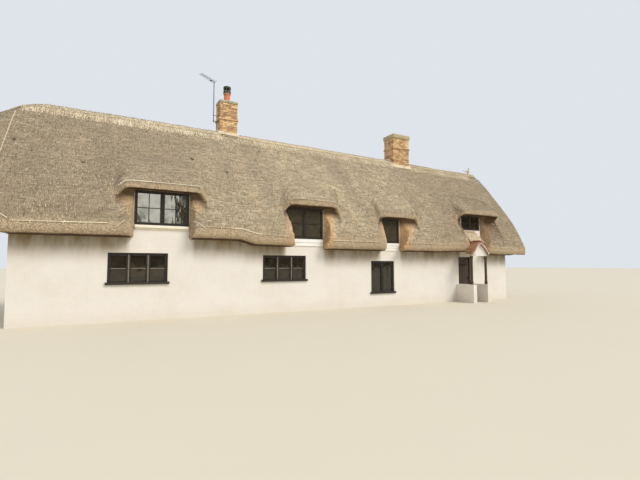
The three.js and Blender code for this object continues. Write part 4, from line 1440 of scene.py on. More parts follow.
@dataclass
class StrawCoat:
    """One coat of straw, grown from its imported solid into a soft, uneven skin.

    Each hollow is an x, a height and a radius. Each streak is the x and the height of its foot,
    how far it leans for each metre up, and its width.
    """

    node: str
    names: Sequence[str]
    finish: Finish
    voxel: float
    brows: Sequence[Brow] = ()
    rounds: int = 110
    snap: float = 0.6
    firm_turn: float = 0.9
    crease_turn: float = 0.5
    crease_reach: float = 0.3
    crease_share: float = 0.12
    edge_step: float = 0.01
    ease_from: float = 0.05
    ease_to: float = 0.34
    edge_weight: float = 0.02
    open_weight: float = 0.6
    waves: Waves = (
        (0.016, (0.55, 0.35, 0.35)),
        (0.010, (2.2, 1.1, 1.1)),
        (0.006, (7.0, 2.4, 2.4)),
    )
    wave_fade: float = 0.2
    hollows: Sequence[Triple] = ()
    hollow_depth: float = 0.03
    hollow_floor: float = 0.3
    # Streaks paint the shade that the brows' swells cast on the slope beside them.
    streaks: Sequence[tuple[float, float, float, float]] = ()
    streak_start: Span = (-0.3, 0.4)
    streak_sway: float = 0.2
    streak_cells: Triple = (2, 2, 2)
    streak_share: float = 0.6
    # left_dark and right_dark make the coat darker towards its two ends.
    left_dark: Span = (0.0, 9.0)
    right_dark: Span = (1.0, 8.0)
    right_share: float = 0.7
    cut_rise: Span = (0.14, 0.34)
    # under_fall and gloom_share set how much painted shade the underside and the lips get.
    under_fall: Span = (0.72, 0.96)
    gloom_share: float = 0.85
    wall_face: float = 2.74
    verge: float = 9.9
    verge_weight: float = 0.15
    seed: int = 11
    mesh: bpy.types.Mesh = field(init=False)

    def grow(self) -> None:
        """Builds the skin: fine, eased away from its edges, and uneven."""
        backing = [form for brow in self.brows for form in brow.backing()]
        self.mesh = voxel_skin(self.node, self.voxel, backing)
        self._soften()
        self._mark()
        points = mesh_array(self.mesh, "co")
        rise = uneven(points, self.waves, self.seed)
        rise *= smooth_step(np.abs(points[:, 1]), self.wall_face, self.wall_face + self.wave_fade)
        # The hollows are dents; their mask also paints them dark, as painted shade in them.
        hollow = np.zeros(len(points))
        for x, z, radius in self.hollows:
            away = np.hypot(points[:, 0] - x, points[:, 2] - z)
            depth = smooth_step(-away, -radius, -self.hollow_floor * radius)
            hollow = np.maximum(hollow, depth)
        set_mask(self.mesh, "hollow", hollow)
        rise -= self.hollow_depth * hollow
        set_points(self.mesh, points + mesh_array(self.mesh, "normal") * rise[:, None])

    def _soften(self) -> None:
        """Draws the skin's rim back onto the solid's firm edges, and rounds the rest of it."""
        points = mesh_array(self.mesh, "co")
        away, edge = nearest_of(points, edge_points(self.node, self.firm_turn, self.edge_step))
        held = away < self.snap * self.voxel
        points[held] = edge[held]
        set_points(self.mesh, points)
        crease, _ = nearest_of(points, edge_points(self.node, self.crease_turn, self.edge_step))
        open_share = smooth_step(crease, 0, self.crease_reach)
        ease = smooth_step(away, self.ease_from, self.ease_to)
        ease *= self.crease_share + (1 - self.crease_share) * open_share
        weights = self.edge_weight + (self.open_weight - self.edge_weight) * ease
        weights[np.abs(points[:, 0]) > self.verge] *= self.verge_weight
        weights[np.abs(points[:, 1]) < self.wall_face] = 0
        set_points(self.mesh, relaxed(self.mesh, weights, self.rounds))

    def _mark(self) -> None:
        """Marks trimmed faces, sheltered straw, dark streaks, and painted shade on the underside and
        close under the lips.
        """
        points = mesh_array(self.mesh, "co")
        rise = mesh_array(self.mesh, "normal")[:, 2]
        shelter = np.zeros(len(points))
        painted_lip_shade = np.zeros(len(points))
        for i, brow in enumerate(self.brows):
            shelter = np.maximum(shelter, brow.shelter(points, self.seed + BROW_SEED + i))
            painted_lip_shade = np.maximum(painted_lip_shade, brow.painted_lip_shade(points))
        # under is painted shade: on faces that look down, and close under each lip
        under = np.maximum(smooth_step(-rise, *self.under_fall), self.gloom_share * painted_lip_shade)
        set_mask(self.mesh, "cut", 1 - smooth_step(rise, *self.cut_rise))
        set_mask(self.mesh, "under", under)
        set_mask(self.mesh, "shelter", shelter)
        set_mask(self.mesh, "streak", self._streaked(points))

    def _streaked(self, points: np.ndarray) -> np.ndarray:
        """How dark the coat is painted: darker towards its two ends, and in streaks of painted shade
        beside the brows.

        Args:
            points: places on the coat, one row each.

        Returns:
            From 0 for the palest straw to 1 for the darkest.
        """
        x, _, z = points.T
        streak = smooth_step(-x, *self.left_dark) + self.right_share * smooth_step(x, *self.right_dark)
        for foot_x, foot_z, lean, width in self.streaks:
            height = z - foot_z
            path = np.abs(x - foot_x + lean * height)
            path = path + self.streak_sway * soft_noise(points, self.streak_cells, STREAK_SEED)
            band = smooth_step(height, *self.streak_start) * (1 - smooth_step(path, 0, width))
            streak = np.maximum(streak, self.streak_share * band)
        return streak

    def dress(self, shelf: FinishShelf) -> None:
        """Cuts the skin into closed parts along the house and fixes them.

        Args:
            shelf: keeps the materials.
        """
        start, end = CAD_BOUNDS[0].x, CAD_BOUNDS[1].x
        count = len(self.names)
        cuts = [start + (end - start) * i / count for i in range(1, count)]
        for name, low, high in zip(self.names, [None, *cuts], [*cuts, None]):
            part = self.mesh.copy()
            if count > 1:
                keep_between(part, low, high)
            shelf.stand(name, part, self.finish, self.node)


def keep_between(mesh: bpy.types.Mesh, low: float | None, high: float | None) -> None:
    """Keeps what lies between two x values and closes the cut faces.

    Args:
        mesh: the mesh to cut.
        low: the lower x, or nothing to keep that end.
        high: the upper x, or nothing to keep that end.
    """
    work = bmesh.new()
    work.from_mesh(mesh)
    for x, outer in ((low, -1), (high, 1)):
        if x is None:
            continue
        geometry = [*work.verts, *work.edges, *work.faces]
        bmesh.ops.bisect_plane(
            work, geom=geometry, dist=CUT_WELD, plane_co=(x, 0, 0), plane_no=(outer, 0, 0),
            clear_outer=True,
        )
        rim = [edge for edge in work.edges if edge.is_boundary]
        bmesh.ops.holes_fill(work, edges=rim, sides=0)
    work.to_mesh(mesh)
    work.free()


@dataclass
class Sowing:
    """How straws are sown on a coat, all over it or on the outside of one slope."""

    name: str
    count: int
    lay: Lay
    length: Span
    width: Span
    lift: Span
    turn: float
    seed: int
    side: Side | None = None
    parts: int = 1
    sunk: float = 0.004
    stand: float = 0.35
    tone: float = 0.5


FRONT = {"side": Side.FRONT}
BACK = {"side": Side.BACK}
COMBED = {
    "lay": Lay.COMBED, "length": (0.06, 0.18), "width": (0.007, 0.014), "lift": (0.003, 0.01),
    "turn": 0.2,
}
CUT = {
    "lay": Lay.CUT, "length": (0.02, 0.045), "width": (0.006, 0.012), "lift": (0.0, 0.01),
    "turn": 0.6,
}
LONG = COMBED | {"length": (0.12, 0.3), "lift": (0.004, 0.014)}
LOOSE = COMBED | {"length": (0.12, 0.3), "turn": 0.35, "lift": (0.01, 0.03)}
SHORT = CUT | {"length": (0.02, 0.04), "width": (0.004, 0.008)}


def unit(rows: np.ndarray) -> np.ndarray:
    """Directions made 1 long, one row each, but a row close to nothing stays short."""
    return rows / np.linalg.norm(rows, axis=1, keepdims=True).clip(LEAST_LENGTH)


def straws(
    root: np.ndarray, tip: np.ndarray, across: np.ndarray, deep: np.ndarray, tints: np.ndarray
) -> Batch:
    """Closed, four-sided straws, flat on top and pointed at one end.

    Args:
        root: the middle of each straw's wide end.
        tip: its pointed end.
        across: half its width, as a direction with a length.
        deep: from its flat top to its keel, as a direction with a length.
        tints: a tone for each straw.

    Returns:
        The straws in one batch.
    """
    points = np.stack([root - across, root + across, tip, (root + tip) / 2 + deep], axis=1)
    faces = np.array([[0, 1, 2], [1, 0, 3], [2, 1, 3], [0, 2, 3]])
    corners = (np.arange(len(root))[:, None, None] * 4 + faces).ravel()
    batch = Batch()
    batch.add_many(
        points.reshape(-1, 3), corners, np.full(len(root) * 4, 3), np.repeat(tints, 4)
    )
    return batch


@dataclass
class StrawSower:
    """Sows straws over the skin of a coat."""

    mesh: bpy.types.Mesh
    combed_rise: float = 0.2
    sheltered: Span = (0.1, 0.4)
    cut_rise: float = -0.75
    facing: float = 0.2
    outer_skin: float = 2.68
    tone_spread: float = 0.3

    def __post_init__(self) -> None:
        """Reads the skin's triangles, with their normals and masks."""
        self.mesh.calc_loop_triangles()
        corners = np.empty(len(self.mesh.loop_triangles) * 3, np.int32)
        self.mesh.loop_triangles.foreach_get("vertices", corners)
        self.corners = corners.reshape(-1, 3)
        self.points = mesh_array(self.mesh, "co")[self.corners]
        self.normals = mesh_array(self.mesh, "normal")[self.corners]

    def sow(self, plan: Sowing, shelf: FinishShelf, finish: Finish) -> None:
        """Grows the straws of one sowing.

        Args:
            plan: how many straws there are, and how they lie.
            shelf: keeps the materials.
            finish: the straws' finish.
        """
        dice = np.random.default_rng(plan.seed)
        foot, up = self._places(plan, dice)
        fall = unit(np.array([0, 0, -1.0]) + up * up[:, 2:3])
        turn = dice.normal(0, plan.turn, plan.count)[:, None]
        along = fall * np.cos(turn) + np.cross(fall, up) * np.sin(turn)
        across = np.cross(along, up)
        length = dice.uniform(*plan.length, plan.count)[:, None]
        width = dice.uniform(*plan.width, plan.count)[:, None] / 2
        lift = dice.uniform(*plan.lift, plan.count)[:, None]
        if plan.lay is Lay.COMBED:
            root = foot + along * length / 2 + up * lift
            tip = foot - along * length / 2 - up * plan.sunk
            across, deep = -across, -up
        else:
            root = foot + up * length * plan.stand + along * lift
            tip = foot - up * length * (1 - plan.stand)
            deep = along
        across, deep = across * width, deep * width
        tints = np.clip(dice.normal(plan.tone, self.tone_spread, plan.count), 0, 1)
        for i, group in enumerate(np.array_split(np.argsort(root[:, 0]), plan.parts)):
            name = plan.name if plan.parts == 1 else f"{plan.name}_{i + 1}"
            batch = straws(root[group], tip[group], across[group], deep[group], tints[group])
            shelf.stand(name, batch, finish)

    def _places(self, plan: Sowing, dice: Dice) -> tuple[np.ndarray, np.ndarray]:
        """Picks the places of the straws, each part of the skin by its size.

        Args:
            plan: how many straws there are, and where they grow.
            dice: makes the random choices.

        Returns:
            The places, and the skin's normals there, one row each.
        """
        a, b, c = (self.points[:, i] for i in range(3))
        odds = np.linalg.norm(np.cross(b - a, c - a), axis=1) / 2 * self._wanted(plan)
        chosen = dice.choice(len(odds), plan.count, p=odds / odds.sum())
        share = dice.dirichlet((1, 1, 1), plan.count)[:, :, None]
        foot = (self.points[chosen] * share).sum(axis=1)
        return foot, unit((self.normals[chosen] * share).sum(axis=1))

    def _wanted(self, plan: Sowing) -> np.ndarray:
        """How thickly each triangle of the skin is sown.

        Args:
            plan: where the straws grow.

        Returns:
            From 0 for bare to 1 for full, one value for each triangle.
        """
        normal = self.normals.mean(axis=1)
        cut = mask_array(self.mesh, "cut")[self.corners].mean(axis=1)
        if plan.lay is Lay.COMBED:
            shelter = mask_array(self.mesh, "shelter")[self.corners].mean(axis=1)
            wanted = (1 - cut) * (normal[:, 2] > self.combed_rise)
            wanted = wanted * (1 - smooth_step(shelter, *self.sheltered))
        else:
            wanted = cut * (normal[:, 2] > self.cut_rise)
        if plan.side:
            outside = np.abs(self.points.mean(axis=1)[:, 1]) > self.outer_skin
            wanted = wanted * ((normal[:, 1] * plan.side.value > self.facing) | outside)
        return wanted


@dataclass
class Fringe:
    """Loose straw that hangs from the lower edges of the ridge down onto the slopes."""

    shelf: FinishShelf
    cap: Feeler
    slopes: Feeler
    count: int = 14000
    end: float = 9.75
    edge: float = 0.4
    edge_band: float = 0.06
    length: Span = (0.08, 0.34)
    sway: float = 0.035
    most_drop: float = 0.6
    sunk: float = 0.004
    lift: float = 0.025
    half_width: Span = (0.003, 0.006)
    tone: float = 0.42
    tone_spread: float = 0.3
    clump_share: float = 0.3
    clump_cells: Triple = (3, 1, 1)
    seed: int = 108

    def build(self) -> None:
        """Hangs the straw."""
        dice = np.random.default_rng(self.seed)
        root, tip = self._ends(dice)
        along = unit(tip - root)
        across = unit(np.cross(along, (0, 0, 1.0)))
        width = dice.uniform(*self.half_width, len(root))[:, None]
        clumps = soft_noise(root, self.clump_cells, self.seed + 1)
        tints = dice.normal(self.tone, self.tone_spread, len(root)) + self.clump_share * clumps
        deep = np.cross(along, across)
        batch = straws(tip, root, across * width, deep * width, np.clip(tints, 0, 1))
        self.shelf.stand("ridge_fringe", batch, RIDGE_STRAW)

    def _ends(self, dice: Dice) -> tuple[np.ndarray, np.ndarray]:
        """Finds where each straw leaves the ridge and where it ends on a slope.

        Args:
            dice: makes the random choices.

        Returns:
            The straws' upper and lower ends, one row each.
        """
        roots, tips = [], []
        for _ in range(self.count):
            x = dice.uniform(-self.end, self.end)
            side = dice.choice((-1, 1))
            drop = dice.uniform(*self.length)
            start = self.cap.from_above(x, side * (self.edge + dice.uniform(-self.edge_band, 0.0)))
            end = self.slopes.from_above(x + dice.normal(0, self.sway), side * (self.edge + drop))
            if start and end and abs(start[0].z - end[0].z) < self.most_drop:
                roots.append(start[0] - start[1] * self.sunk)
                tips.append(end[0] + end[1] * dice.uniform(0.0, self.lift))
        return np.array(roots), np.array(tips)


@dataclass
class Thatch:
    """The two slopes, the block ridge, the apron over the porch and the bird on the ridge."""

    shelf: FinishShelf
    slope_voxel: float = 0.05
    back_voxel: float = 0.07
    ridge_voxel: float = 0.05
    apron_voxel: float = 0.03
    bird_voxel: float = 0.011
    no_wall: float = -1.0
    no_verge: float = 20.0

    def build(self) -> Feeler:
        """Builds every piece of straw.

        Returns:
            A feeler for the finished skins.
        """
        coats = (*self._slopes(), *self._trimmings())
        for coat in coats:
            coat.grow()
            coat.dress(self.shelf)
        front, back, ridge, apron, bird = coats
        for coat, finish, plan in (
            (front, STRAW, Sowing("front_straws", 49000, seed=101, parts=2, **FRONT, **COMBED)),
            (front, CUT_STRAW, Sowing("front_cut_ends", 12000, seed=102, **FRONT, **CUT)),
            (back, STRAW, Sowing("back_straws", 16000, seed=103, **BACK, **COMBED)),
            (back, CUT_STRAW, Sowing("back_cut_ends", 5000, seed=104, **BACK, **CUT)),
            (ridge, RIDGE_STRAW, Sowing("ridge_straws", 13000, seed=105, tone=0.6, **LONG)),
        ):
            StrawSower(coat.mesh).sow(plan, self.shelf, finish)
        Fringe(self.shelf, Feeler([ridge.mesh]), Feeler([front.mesh, back.mesh])).build()
        for coat, plan in (
            (apron, Sowing("apron_straws", 1400, seed=106, **LOOSE)),
            (bird, Sowing("bird_straws", 500, seed=107, **SHORT)),
        ):
            StrawSower(coat.mesh).sow(plan, self.shelf, RIDGE_STRAW)
        return Feeler([coat.mesh for coat in coats])

    def _slopes(self) -> tuple[StrawCoat, StrawCoat]:
        """The front and the back slope, before they grow.

        Returns:
            The two coats.
        """
        front = StrawCoat(
            "front_thatch", ("front_thatch_left", "front_thatch_middle", "front_thatch_right"),
            THATCH, self.slope_voxel, [brow for brow in BROWS if brow.side is Side.FRONT],
            hollows=((-9.74, 5.11, 0.07), (-8.04, 4.58, 0.06), (-4.9, 5.18, 0.09), (-3.78, 4.8, 0.08)),
            streaks=((6.0, 3.3, 0.32, 1.0), (1.5, 3.3, 0.2, 0.7), (-2.4, 3.5, 0.2, 0.6)),
        )
        back = StrawCoat(
            "back_thatch", ("back_thatch_left", "back_thatch_right"), THATCH, self.back_voxel,
            [brow for brow in BROWS if brow.side is Side.BACK], seed=31,
        )
        return front, back

    def _trimmings(self) -> tuple[StrawCoat, StrawCoat, StrawCoat]:
        """The ridge, the apron and the bird, before they grow.

        Returns:
            The three coats.
        """
        ridge = StrawCoat(
            "ridge_cap", ("block_ridge",), RIDGE, self.ridge_voxel, rounds=30, ease_to=0.2,
            waves=((0.008, (0.9, 1, 1)), (0.007, (3.5, 1.5, 1.5)), (0.006, (11, 3, 3))),
            seed=51, wall_face=self.no_wall,
        )
        apron = StrawCoat(
            "porch_apron", ("apron_straw",), APRON, self.apron_voxel, rounds=20, ease_to=0.15,
            waves=((0.012, (5, 2, 2)), (0.006, (14, 4, 4))),
            seed=71, verge=self.no_verge, wall_face=self.no_wall,
        )
        bird = StrawCoat(
            "ridge_finial", ("straw_bird",), RIDGE, self.bird_voxel, rounds=6, ease_to=0.05,
            waves=((0.003, (26, 26, 26)),),
            seed=81, verge=self.no_verge, wall_face=self.no_wall,
        )
        return ridge, apron, bird


# Rods over the thatch

@dataclass
class Rods:
    """Split hazel rods that hold the straw, with the staples that pin them."""

    shelf: FinishShelf
    skin: Feeler
    radius: float = 0.015
    dips: Span = (0.7, 1.2)
    tones: Span = (0.2, 0.9)
    step: float = 0.06
    rod_length: int = 18
    staple_every: float = 0.34
    staple_length: float = 0.09
    staple_lean: float = 0.03
    staple_share: float = 0.6
    staple_tones: Span = (0.3, 0.9)

    def lay(self, side: Side, marks: Sequence[Span], batch: Batch, seed: int) -> None:
        """Lays one rod through marks.

        Args:
            side: the slope that it lies on.
            marks: the x and the height of the points that it passes.
            batch: takes the rod and its staples.
            seed: varies its tone.
        """
        dice = np.random.default_rng(seed)
        path: list[Vector] = []
        normals: list[Vector] = []
        for (x0, z0), (x1, z1) in zip(marks, marks[1:]):
            parts = max(1, round(math.hypot(x1 - x0, z1 - z0) / self.step))
            for share in (i / parts for i in range(parts)):
                found = self.skin.from_outside(side, x0 + (x1 - x0) * share, z0 + (z1 - z0) * share)
                if found:
                    path.append(found[0] + found[1] * (self.radius * float(dice.uniform(*self.dips))))
                    normals.append(found[1])
        for i in range(0, len(path) - 1, self.rod_length):
            batch.add(rod(path[i:i + self.rod_length + 1], self.radius), dice.uniform(*self.tones))
        self._pin(path, normals, batch, dice)

    def _pin(self, path: list[Vector], normals: list[Vector], batch: Batch, dice: Dice) -> None:
        """Pins a rod down with staples.

        Args:
            path: the points that the rod passes.
            normals: the thatch's normals there.
            batch: takes the staples.
            dice: varies their lean and their tones.
        """
        every = max(2, round(self.staple_every / self.step))
        for i in range(1, len(path) - 1, every):
            ahead = (path[i + 1] - path[i - 1]).normalized()
            across = ahead.cross(normals[i]).normalized() * self.staple_length / 2
            lean = ahead * dice.uniform(-self.staple_lean, self.staple_lean)
            top = path[i] + normals[i] * self.radius
            bend = [path[i] - across - lean, top, path[i] + across + lean]
            staple = rod(bend, self.radius * self.staple_share, sides=5)
            batch.add(staple, dice.uniform(*self.staple_tones))

    def build(self) -> None:
        """Lays the rods along the eaves, over the brows, beside a window and at the left verge."""
        for side, name in ((Side.FRONT, "front_rods"), (Side.BACK, "back_rods")):
            brow_rods = [brow.rod_run() for brow in BROWS if brow.side is side and brow.rodded]
            batch = Batch()
            for runs, seed in (
                (EAVE_RODS[side], EAVE_SEED),
                (brow_rods, LIP_SEED),
                (SPAR_RODS[side], SPAR_SEED),
            ):
                for i, marks in enumerate(runs):
                    self.lay(side, marks, batch, seed + i)
            self.shelf.stand(name, batch, HAZEL)


EAVE_SEED = 200
LIP_SEED = 220
SPAR_SEED = 240


EAVE_RODS = {
    Side.FRONT: (
        ((-9.5, 2.7), (-7.3, 2.74)),
        ((-5.05, 2.76), (-3.6, 2.74), (-3.1, 2.6), (-1.9, 2.54)),
        ((-0.3, 2.47), (1.9, 2.46)),
        ((3.2, 2.46), (4.9, 2.46), (6.3, 2.5)),
        ((7.9, 2.42), (9.6, 2.38)),
    ),
    Side.BACK: (
        ((-9.6, 2.62), (-6.8, 2.6)),
        ((-5.0, 2.58), (2.1, 2.55)),
        ((4.1, 2.54), (9.6, 2.52)),
    ),
}
SPAR_RODS = {
    Side.FRONT: (
        ((-9.88, 6.2), (-9.96, 4.63), (-10.05, 3.4)),
        ((-10.1, 3.25), (-9.69, 2.85), (-9.5, 2.72)),
        ((-7.189, 2.634), (-6.898, 2.875)),
        ((-7.124, 3.096), (-6.899, 3.232)),
        ((-5.15, 2.97), (-4.686, 2.657)),
        ((-5.136, 3.356), (-4.695, 3.002)),
    ),
    Side.BACK: (),
}


# Walls and floors

@dataclass
class Walls:
    """The rendered walls and the floors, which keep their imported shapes."""

    shelf: FinishShelf

    def dress(self) -> None:
        """Gives the walls and floors their finishes."""
        for node in (
            "front_wall_left", "front_wall_right", "front_wall_over_door", "porch_gable",
            "porch_left_dwarf_wall", "porch_right_dwarf_wall",
        ):
            self.shelf.repaint(node, LIME)
        self.shelf.repaint("back_wall", BACK_LIME)
        for node in ("left_gable_wall", "right_gable_wall"):
            self.shelf.repaint(node, GABLE_LIME)
        self.shelf.repaint("ground_floor", FLOOR_STONE)
        self.shelf.repaint("upper_floor", FLOOR_BOARDS)


# Chimneys

@dataclass
class BrickStack:
    """A chimney stack of bricks laid round its packed core, with a cap and a fillet."""

    shelf: FinishShelf
    word: str
    band_bottom: float
    projection: float
    cap_finish: Finish
    seed: int
    foot: float = 6.25
    brick: Triple = (0.215, 0.065, 0.022)
    joint: float = 0.013
    stand_out: float = 0.009
    bedded: float = 0.005
    band_reach: float = 0.02
    least_gap: float = 0.02
    least_brick: float = 0.05
    jitter: float = 0.0012
    tone_spread: float = 0.36
    cap_voxel: float = 0.018
    fillet_voxel: float = 0.02
    soften: float = 0.4
    soft_rounds: int = 4
    rough: Waves = ((0.006, (9, 9, 9)), (0.004, (26, 26, 26)))

    def build(self) -> None:
        """Lays the bricks and dresses the core, the cap and the fillet."""
        core = f"{self.word}_chimney_stack"
        self.shelf.repaint(core, BED_MORTAR)
        low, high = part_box(core)
        inset = Vector((self.projection, self.projection, 0))
        above = round((high.z - self.band_bottom) / (self.brick[1] + self.joint))
        gauge = (high.z - self.band_bottom) / above
        batch = Batch()
        dice = np.random.default_rng(self.seed)
        for course in range(int((high.z - self.foot) / gauge)):
            bottom = high.z - (course + 1) * gauge
            upright = (bottom + self.joint / 2, bottom + gauge - self.joint / 2)
            in_band = abs(bottom - self.band_bottom) < self.band_reach
            grow = self.projection if in_band else 0.0
            for side in range(4):
                lapped = (side < 2) == (course % 2 == 1)
                reach = self._face(low + inset, high - inset, side, lapped, grow)
                self._row(batch, dice, reach, upright, side < 2)
        self.shelf.stand(f"{self.word}_chimney_bricks", batch, BRICK)
        self._roughen("chimney_cap", "cap_slab", self.cap_finish, self.cap_voxel)
        self._roughen("chimney_fillet", "mortar_fillet", FLAUNCHING, self.fillet_voxel)

    def _face(
        self, low: Vector, high: Vector, side: int, lapped: bool, grow: float
    ) -> tuple[float, float, float, Span]:
        """Where a course lies on one face of the shaft.

        Args:
            low: the shaft's lowest corner.
            high: its highest corner.
            side: 0 and 1 for the faces along X, 2 and 3 for those along Y.
            lapped: whether the course runs past its neighbours at the corners.
            grow: how far the course is set out.

        Returns:
            Its start, its end, the length of its first brick, and how deep it reaches.
        """
        length, _, depth = self.brick
        along, across = (0, 1) if side < 2 else (1, 0)
        face = (low, high)[side % 2][across]
        outward = 1 if side % 2 else -1
        out = self.stand_out + grow
        reach = out if lapped else grow
        back, front = sorted((face + outward * (grow - depth + self.bedded), face + outward * out))
        first = length if lapped else length / 2
        return low[along] - reach, high[along] + reach, first, (back, front)

    def _row(
        self, batch: Batch, dice: Dice, reach: tuple[float, float, float, Span],
        upright: Span, along_x: bool,
    ) -> None:
        """Lays the bricks of one course on one face.

        Args:
            batch: takes the bricks.
            dice: varies their places and tones.
            reach: what _face() says of the course.
            upright: the course's lowest and highest Z.
            along_x: whether it runs along X.
        """
        start, end, step, deep = reach
        while start < end - self.least_gap:
            brick_end = min(end, start + step)
            if end - brick_end < self.least_brick:
                brick_end = end
            shift = dice.normal(0, self.jitter, 3)
            xs, ys = ((start, brick_end), deep) if along_x else (deep, (start, brick_end))
            corners = list(zip(xs, ys, upright))
            brick = block(corners[0], corners[1], chamfer=0.004).moved(shift)
            batch.add(brick, random_tint(dice, self.tone_spread))
            start = brick_end + self.joint
            step = self.brick[0]

    def _roughen(self, node: str, name: str, finish: Finish, voxel: float) -> None:
        """Stands a rough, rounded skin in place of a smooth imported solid.

        Args:
            node: the solid's name without the stack's word.
            name: the new piece's name without it.
            finish: the new piece's finish.
            voxel: the length of the skin's small squares.
        """
        mesh = voxel_skin(f"{self.word}_{node}", voxel)
        weights = np.full(len(mesh.vertices), self.soften)
        set_points(mesh, relaxed(mesh, weights, self.soft_rounds))
        points = mesh_array(mesh, "co")
        rise = uneven(points, self.rough, self.seed)[:, None]
        set_points(mesh, points + mesh_array(mesh, "normal") * rise)
        self.shelf.stand(f"{self.word}_{name}", mesh, finish, f"{self.word}_{node}")


@dataclass
class PotAndCowl:
    """The clay pot of the left chimney and the slotted metal cowl over it.

    The pot's outline is given as radii, with heights over its foot or depths below its top. The
    lid's is given as shares of the cowl's radius, with depths below its top.
    """

    shelf: FinishShelf
    sides: int = 40
    bore: float = 0.088
    pot_foot: Sequence[Span] = (
        (0.14, 0.0), (0.14, 0.035), (0.132, 0.048), (0.122, 0.06), (0.116, 0.14)
    )
    pot_rim: Sequence[Span] = (
        (0.116, 0.07), (0.12, 0.055), (0.134, 0.045), (0.137, 0.025), (0.134, 0.006), (0.122, 0.0)
    )
    pot_tone: float = 0.6
    skin: float = 0.008
    base_height: float = 0.09
    collar_depths: Span = (0.12, 0.06)
    lid_hole: float = 0.004
    lid: Sequence[Span] = (
        (0.0, 0.03), (0.7, 0.055), (1.0, 0.07), (1.0, 0.06), (0.7, 0.035), (0.0, 0.0)
    )
    posts: int = 8
    post_in: Span = (0.012, 0.003)
    post_half: float = 0.018
    post_foot: float = 0.08
    post_top: float = 0.1

    def build(self) -> None:
        """Turns the pot and builds the cowl from two rings, posts and a lid."""
        centre, _, height = self._seat(*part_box("chimney_pot"))
        profile = [(self.bore, 0.0), *self.pot_foot]
        profile += [(radius, height - depth) for radius, depth in self.pot_rim]
        profile.append((self.bore, height))
        batch = Batch()
        batch.add(turned(profile, centre, self.sides), self.pot_tone)
        self.shelf.stand("pot_turned", batch, POT_CLAY, "chimney_pot")
        self._cowl()

    def _seat(self, low: Vector, high: Vector) -> tuple[Triple, float, float]:
        """The middle of the foot of a round solid in a box, its radius and its height."""
        middle = ((low.x + high.x) / 2, (low.y + high.y) / 2, low.z)
        return middle, (high.x - low.x) / 2, high.z - low.z

    def _cowl(self) -> None:
        """Builds the cowl."""
        centre, radius, height = self._seat(*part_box("chimney_cowl"))
        lid = [(max(self.lid_hole, radius * share), height - depth) for share, depth in self.lid]
        batch = Batch()
        for low, high in (
            (0.0, self.base_height), (height - self.collar_depths[0], height - self.collar_depths[1])
        ):
            inner = radius - self.skin
            ring = [(inner, low), (radius, low), (radius, high), (inner, high)]
            batch.add(turned(ring, centre, self.sides))
        batch.add(turned(lid, centre, self.sides))
        post = block(
            (radius - self.post_in[0], -self.post_half, self.post_foot),
            (radius - self.post_in[1], self.post_half, height - self.post_top), chamfer=0.002,
        )
        for i in range(self.posts):
            angle = 2 * math.pi * (i + 0.5) / self.posts
            batch.add(post.moved(centre, Matrix.Rotation(angle, 3, "Z")))
        self.shelf.stand("cowl_drum", batch, COWL_METAL, "chimney_cowl")


# Aerial

@dataclass
class Aerial:
    """The television aerial: mast, bracket arms, boom, cross rods and reflector."""

    shelf: FinishShelf
    mast_radius: float = 0.016
    arm_radius: float = 0.011
    arm_heights: Span = (7.15, 7.37)
    plate_half: Triple = (0.0035, 0.035, 0.045)
    plate_in: float = 0.0025
    clip_half: Triple = (0.024, 0.024, 0.014)
    boom: float = 0.8
    boom_radius: float = 0.0075
    boom_rise: float = 0.031
    tail: float = 0.06
    rods: int = 9
    rod_radius: float = 0.005
    first_rod: float = 0.02
    rodded_share: float = 0.9
    span: float = 0.3
    shortest: float = 0.75
    turn: float = 0.62
    saddle_half: Triple = (0.012, 0.014, 0.012)
    clamp: tuple[Triple, Triple] = ((-0.022, -0.022, -0.03), (0.022, 0.022, 0.007))
    reflector: tuple[Triple, Triple] = ((-0.05, -0.03, -0.045), (0.03, 0.03, -0.008))
    reflector_at: float = -0.16

    def build(self) -> None:
        """Builds the mast and the receiving rods as round metal."""
        low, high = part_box("aerial_mast")
        x, y = low.x + self.mast_radius, (low.y + high.y) / 2
        batch = Batch()
        batch.add(rod([Vector((x, y, low.z)), Vector((x, y, high.z))], self.mast_radius, sides=20))
        for height in self.arm_heights:
            arm = [Vector((x, y, height)), Vector((high.x, y, height))]
            batch.add(rod(arm, self.arm_radius, sides=12))
            plate = (high.x - self.plate_in, y, height)
            batch.add(block_at(plate, self.plate_half, chamfer=0.002))
            batch.add(block_at((x, y, height), self.clip_half, chamfer=0.004))
        self.shelf.stand("aerial_pole", batch, AERIAL_METAL, "aerial_mast")
        self._array(Vector((x, y, high.z + self.boom_rise)))

    def _array(self, seat: Vector) -> None:
        """Builds the boom with its rods, turned about the mast.

        Args:
            seat: the point of the boom over the mast.
        """
        turn = Matrix.Rotation(self.turn, 3, "Z")
        batch = Batch()

        def at(x: float, y: float = 0.0) -> Vector:
            """A point of the boom's own frame, in the house's frame."""
            return seat + turn @ Vector((x, y, 0.0))

        start = self.tail - self.boom
        batch.add(rod([at(start), at(self.tail)], self.boom_radius, sides=12))
        spacing = self.boom * self.rodded_share / (self.rods - 1)
        saddle = block_at((0, 0, 0), self.saddle_half, chamfer=0.002)
        for i in range(self.rods):
            x = start + self.first_rod + i * spacing
            growth = self.shortest + (1 - self.shortest) * i / (self.rods - 1)
            half = self.span * growth / 2
            batch.add(rod([at(x, -half), at(x, half)], self.rod_radius, sides=8))
            batch.add(saddle.moved(at(x), turn))
        batch.add(block(*self.clamp, chamfer=0.004).moved(seat))
        reflector = block(*self.reflector, chamfer=0.006)
        batch.add(reflector.moved(at(self.reflector_at), turn))
        self.shelf.stand("aerial_array", batch, AERIAL_METAL, "aerial_bars")


# Windows

@dataclass
class WindowPlan:
    """How one window is divided and finished."""

    name: str
    side: Side
    lights: int
    upright_bars: int = 0
    level_bars: int = 0
    beads: bool = False
    boards: int = 0
    board_height: float = 0.125
    sill_board: bool = False
    glass: Finish = GLASS


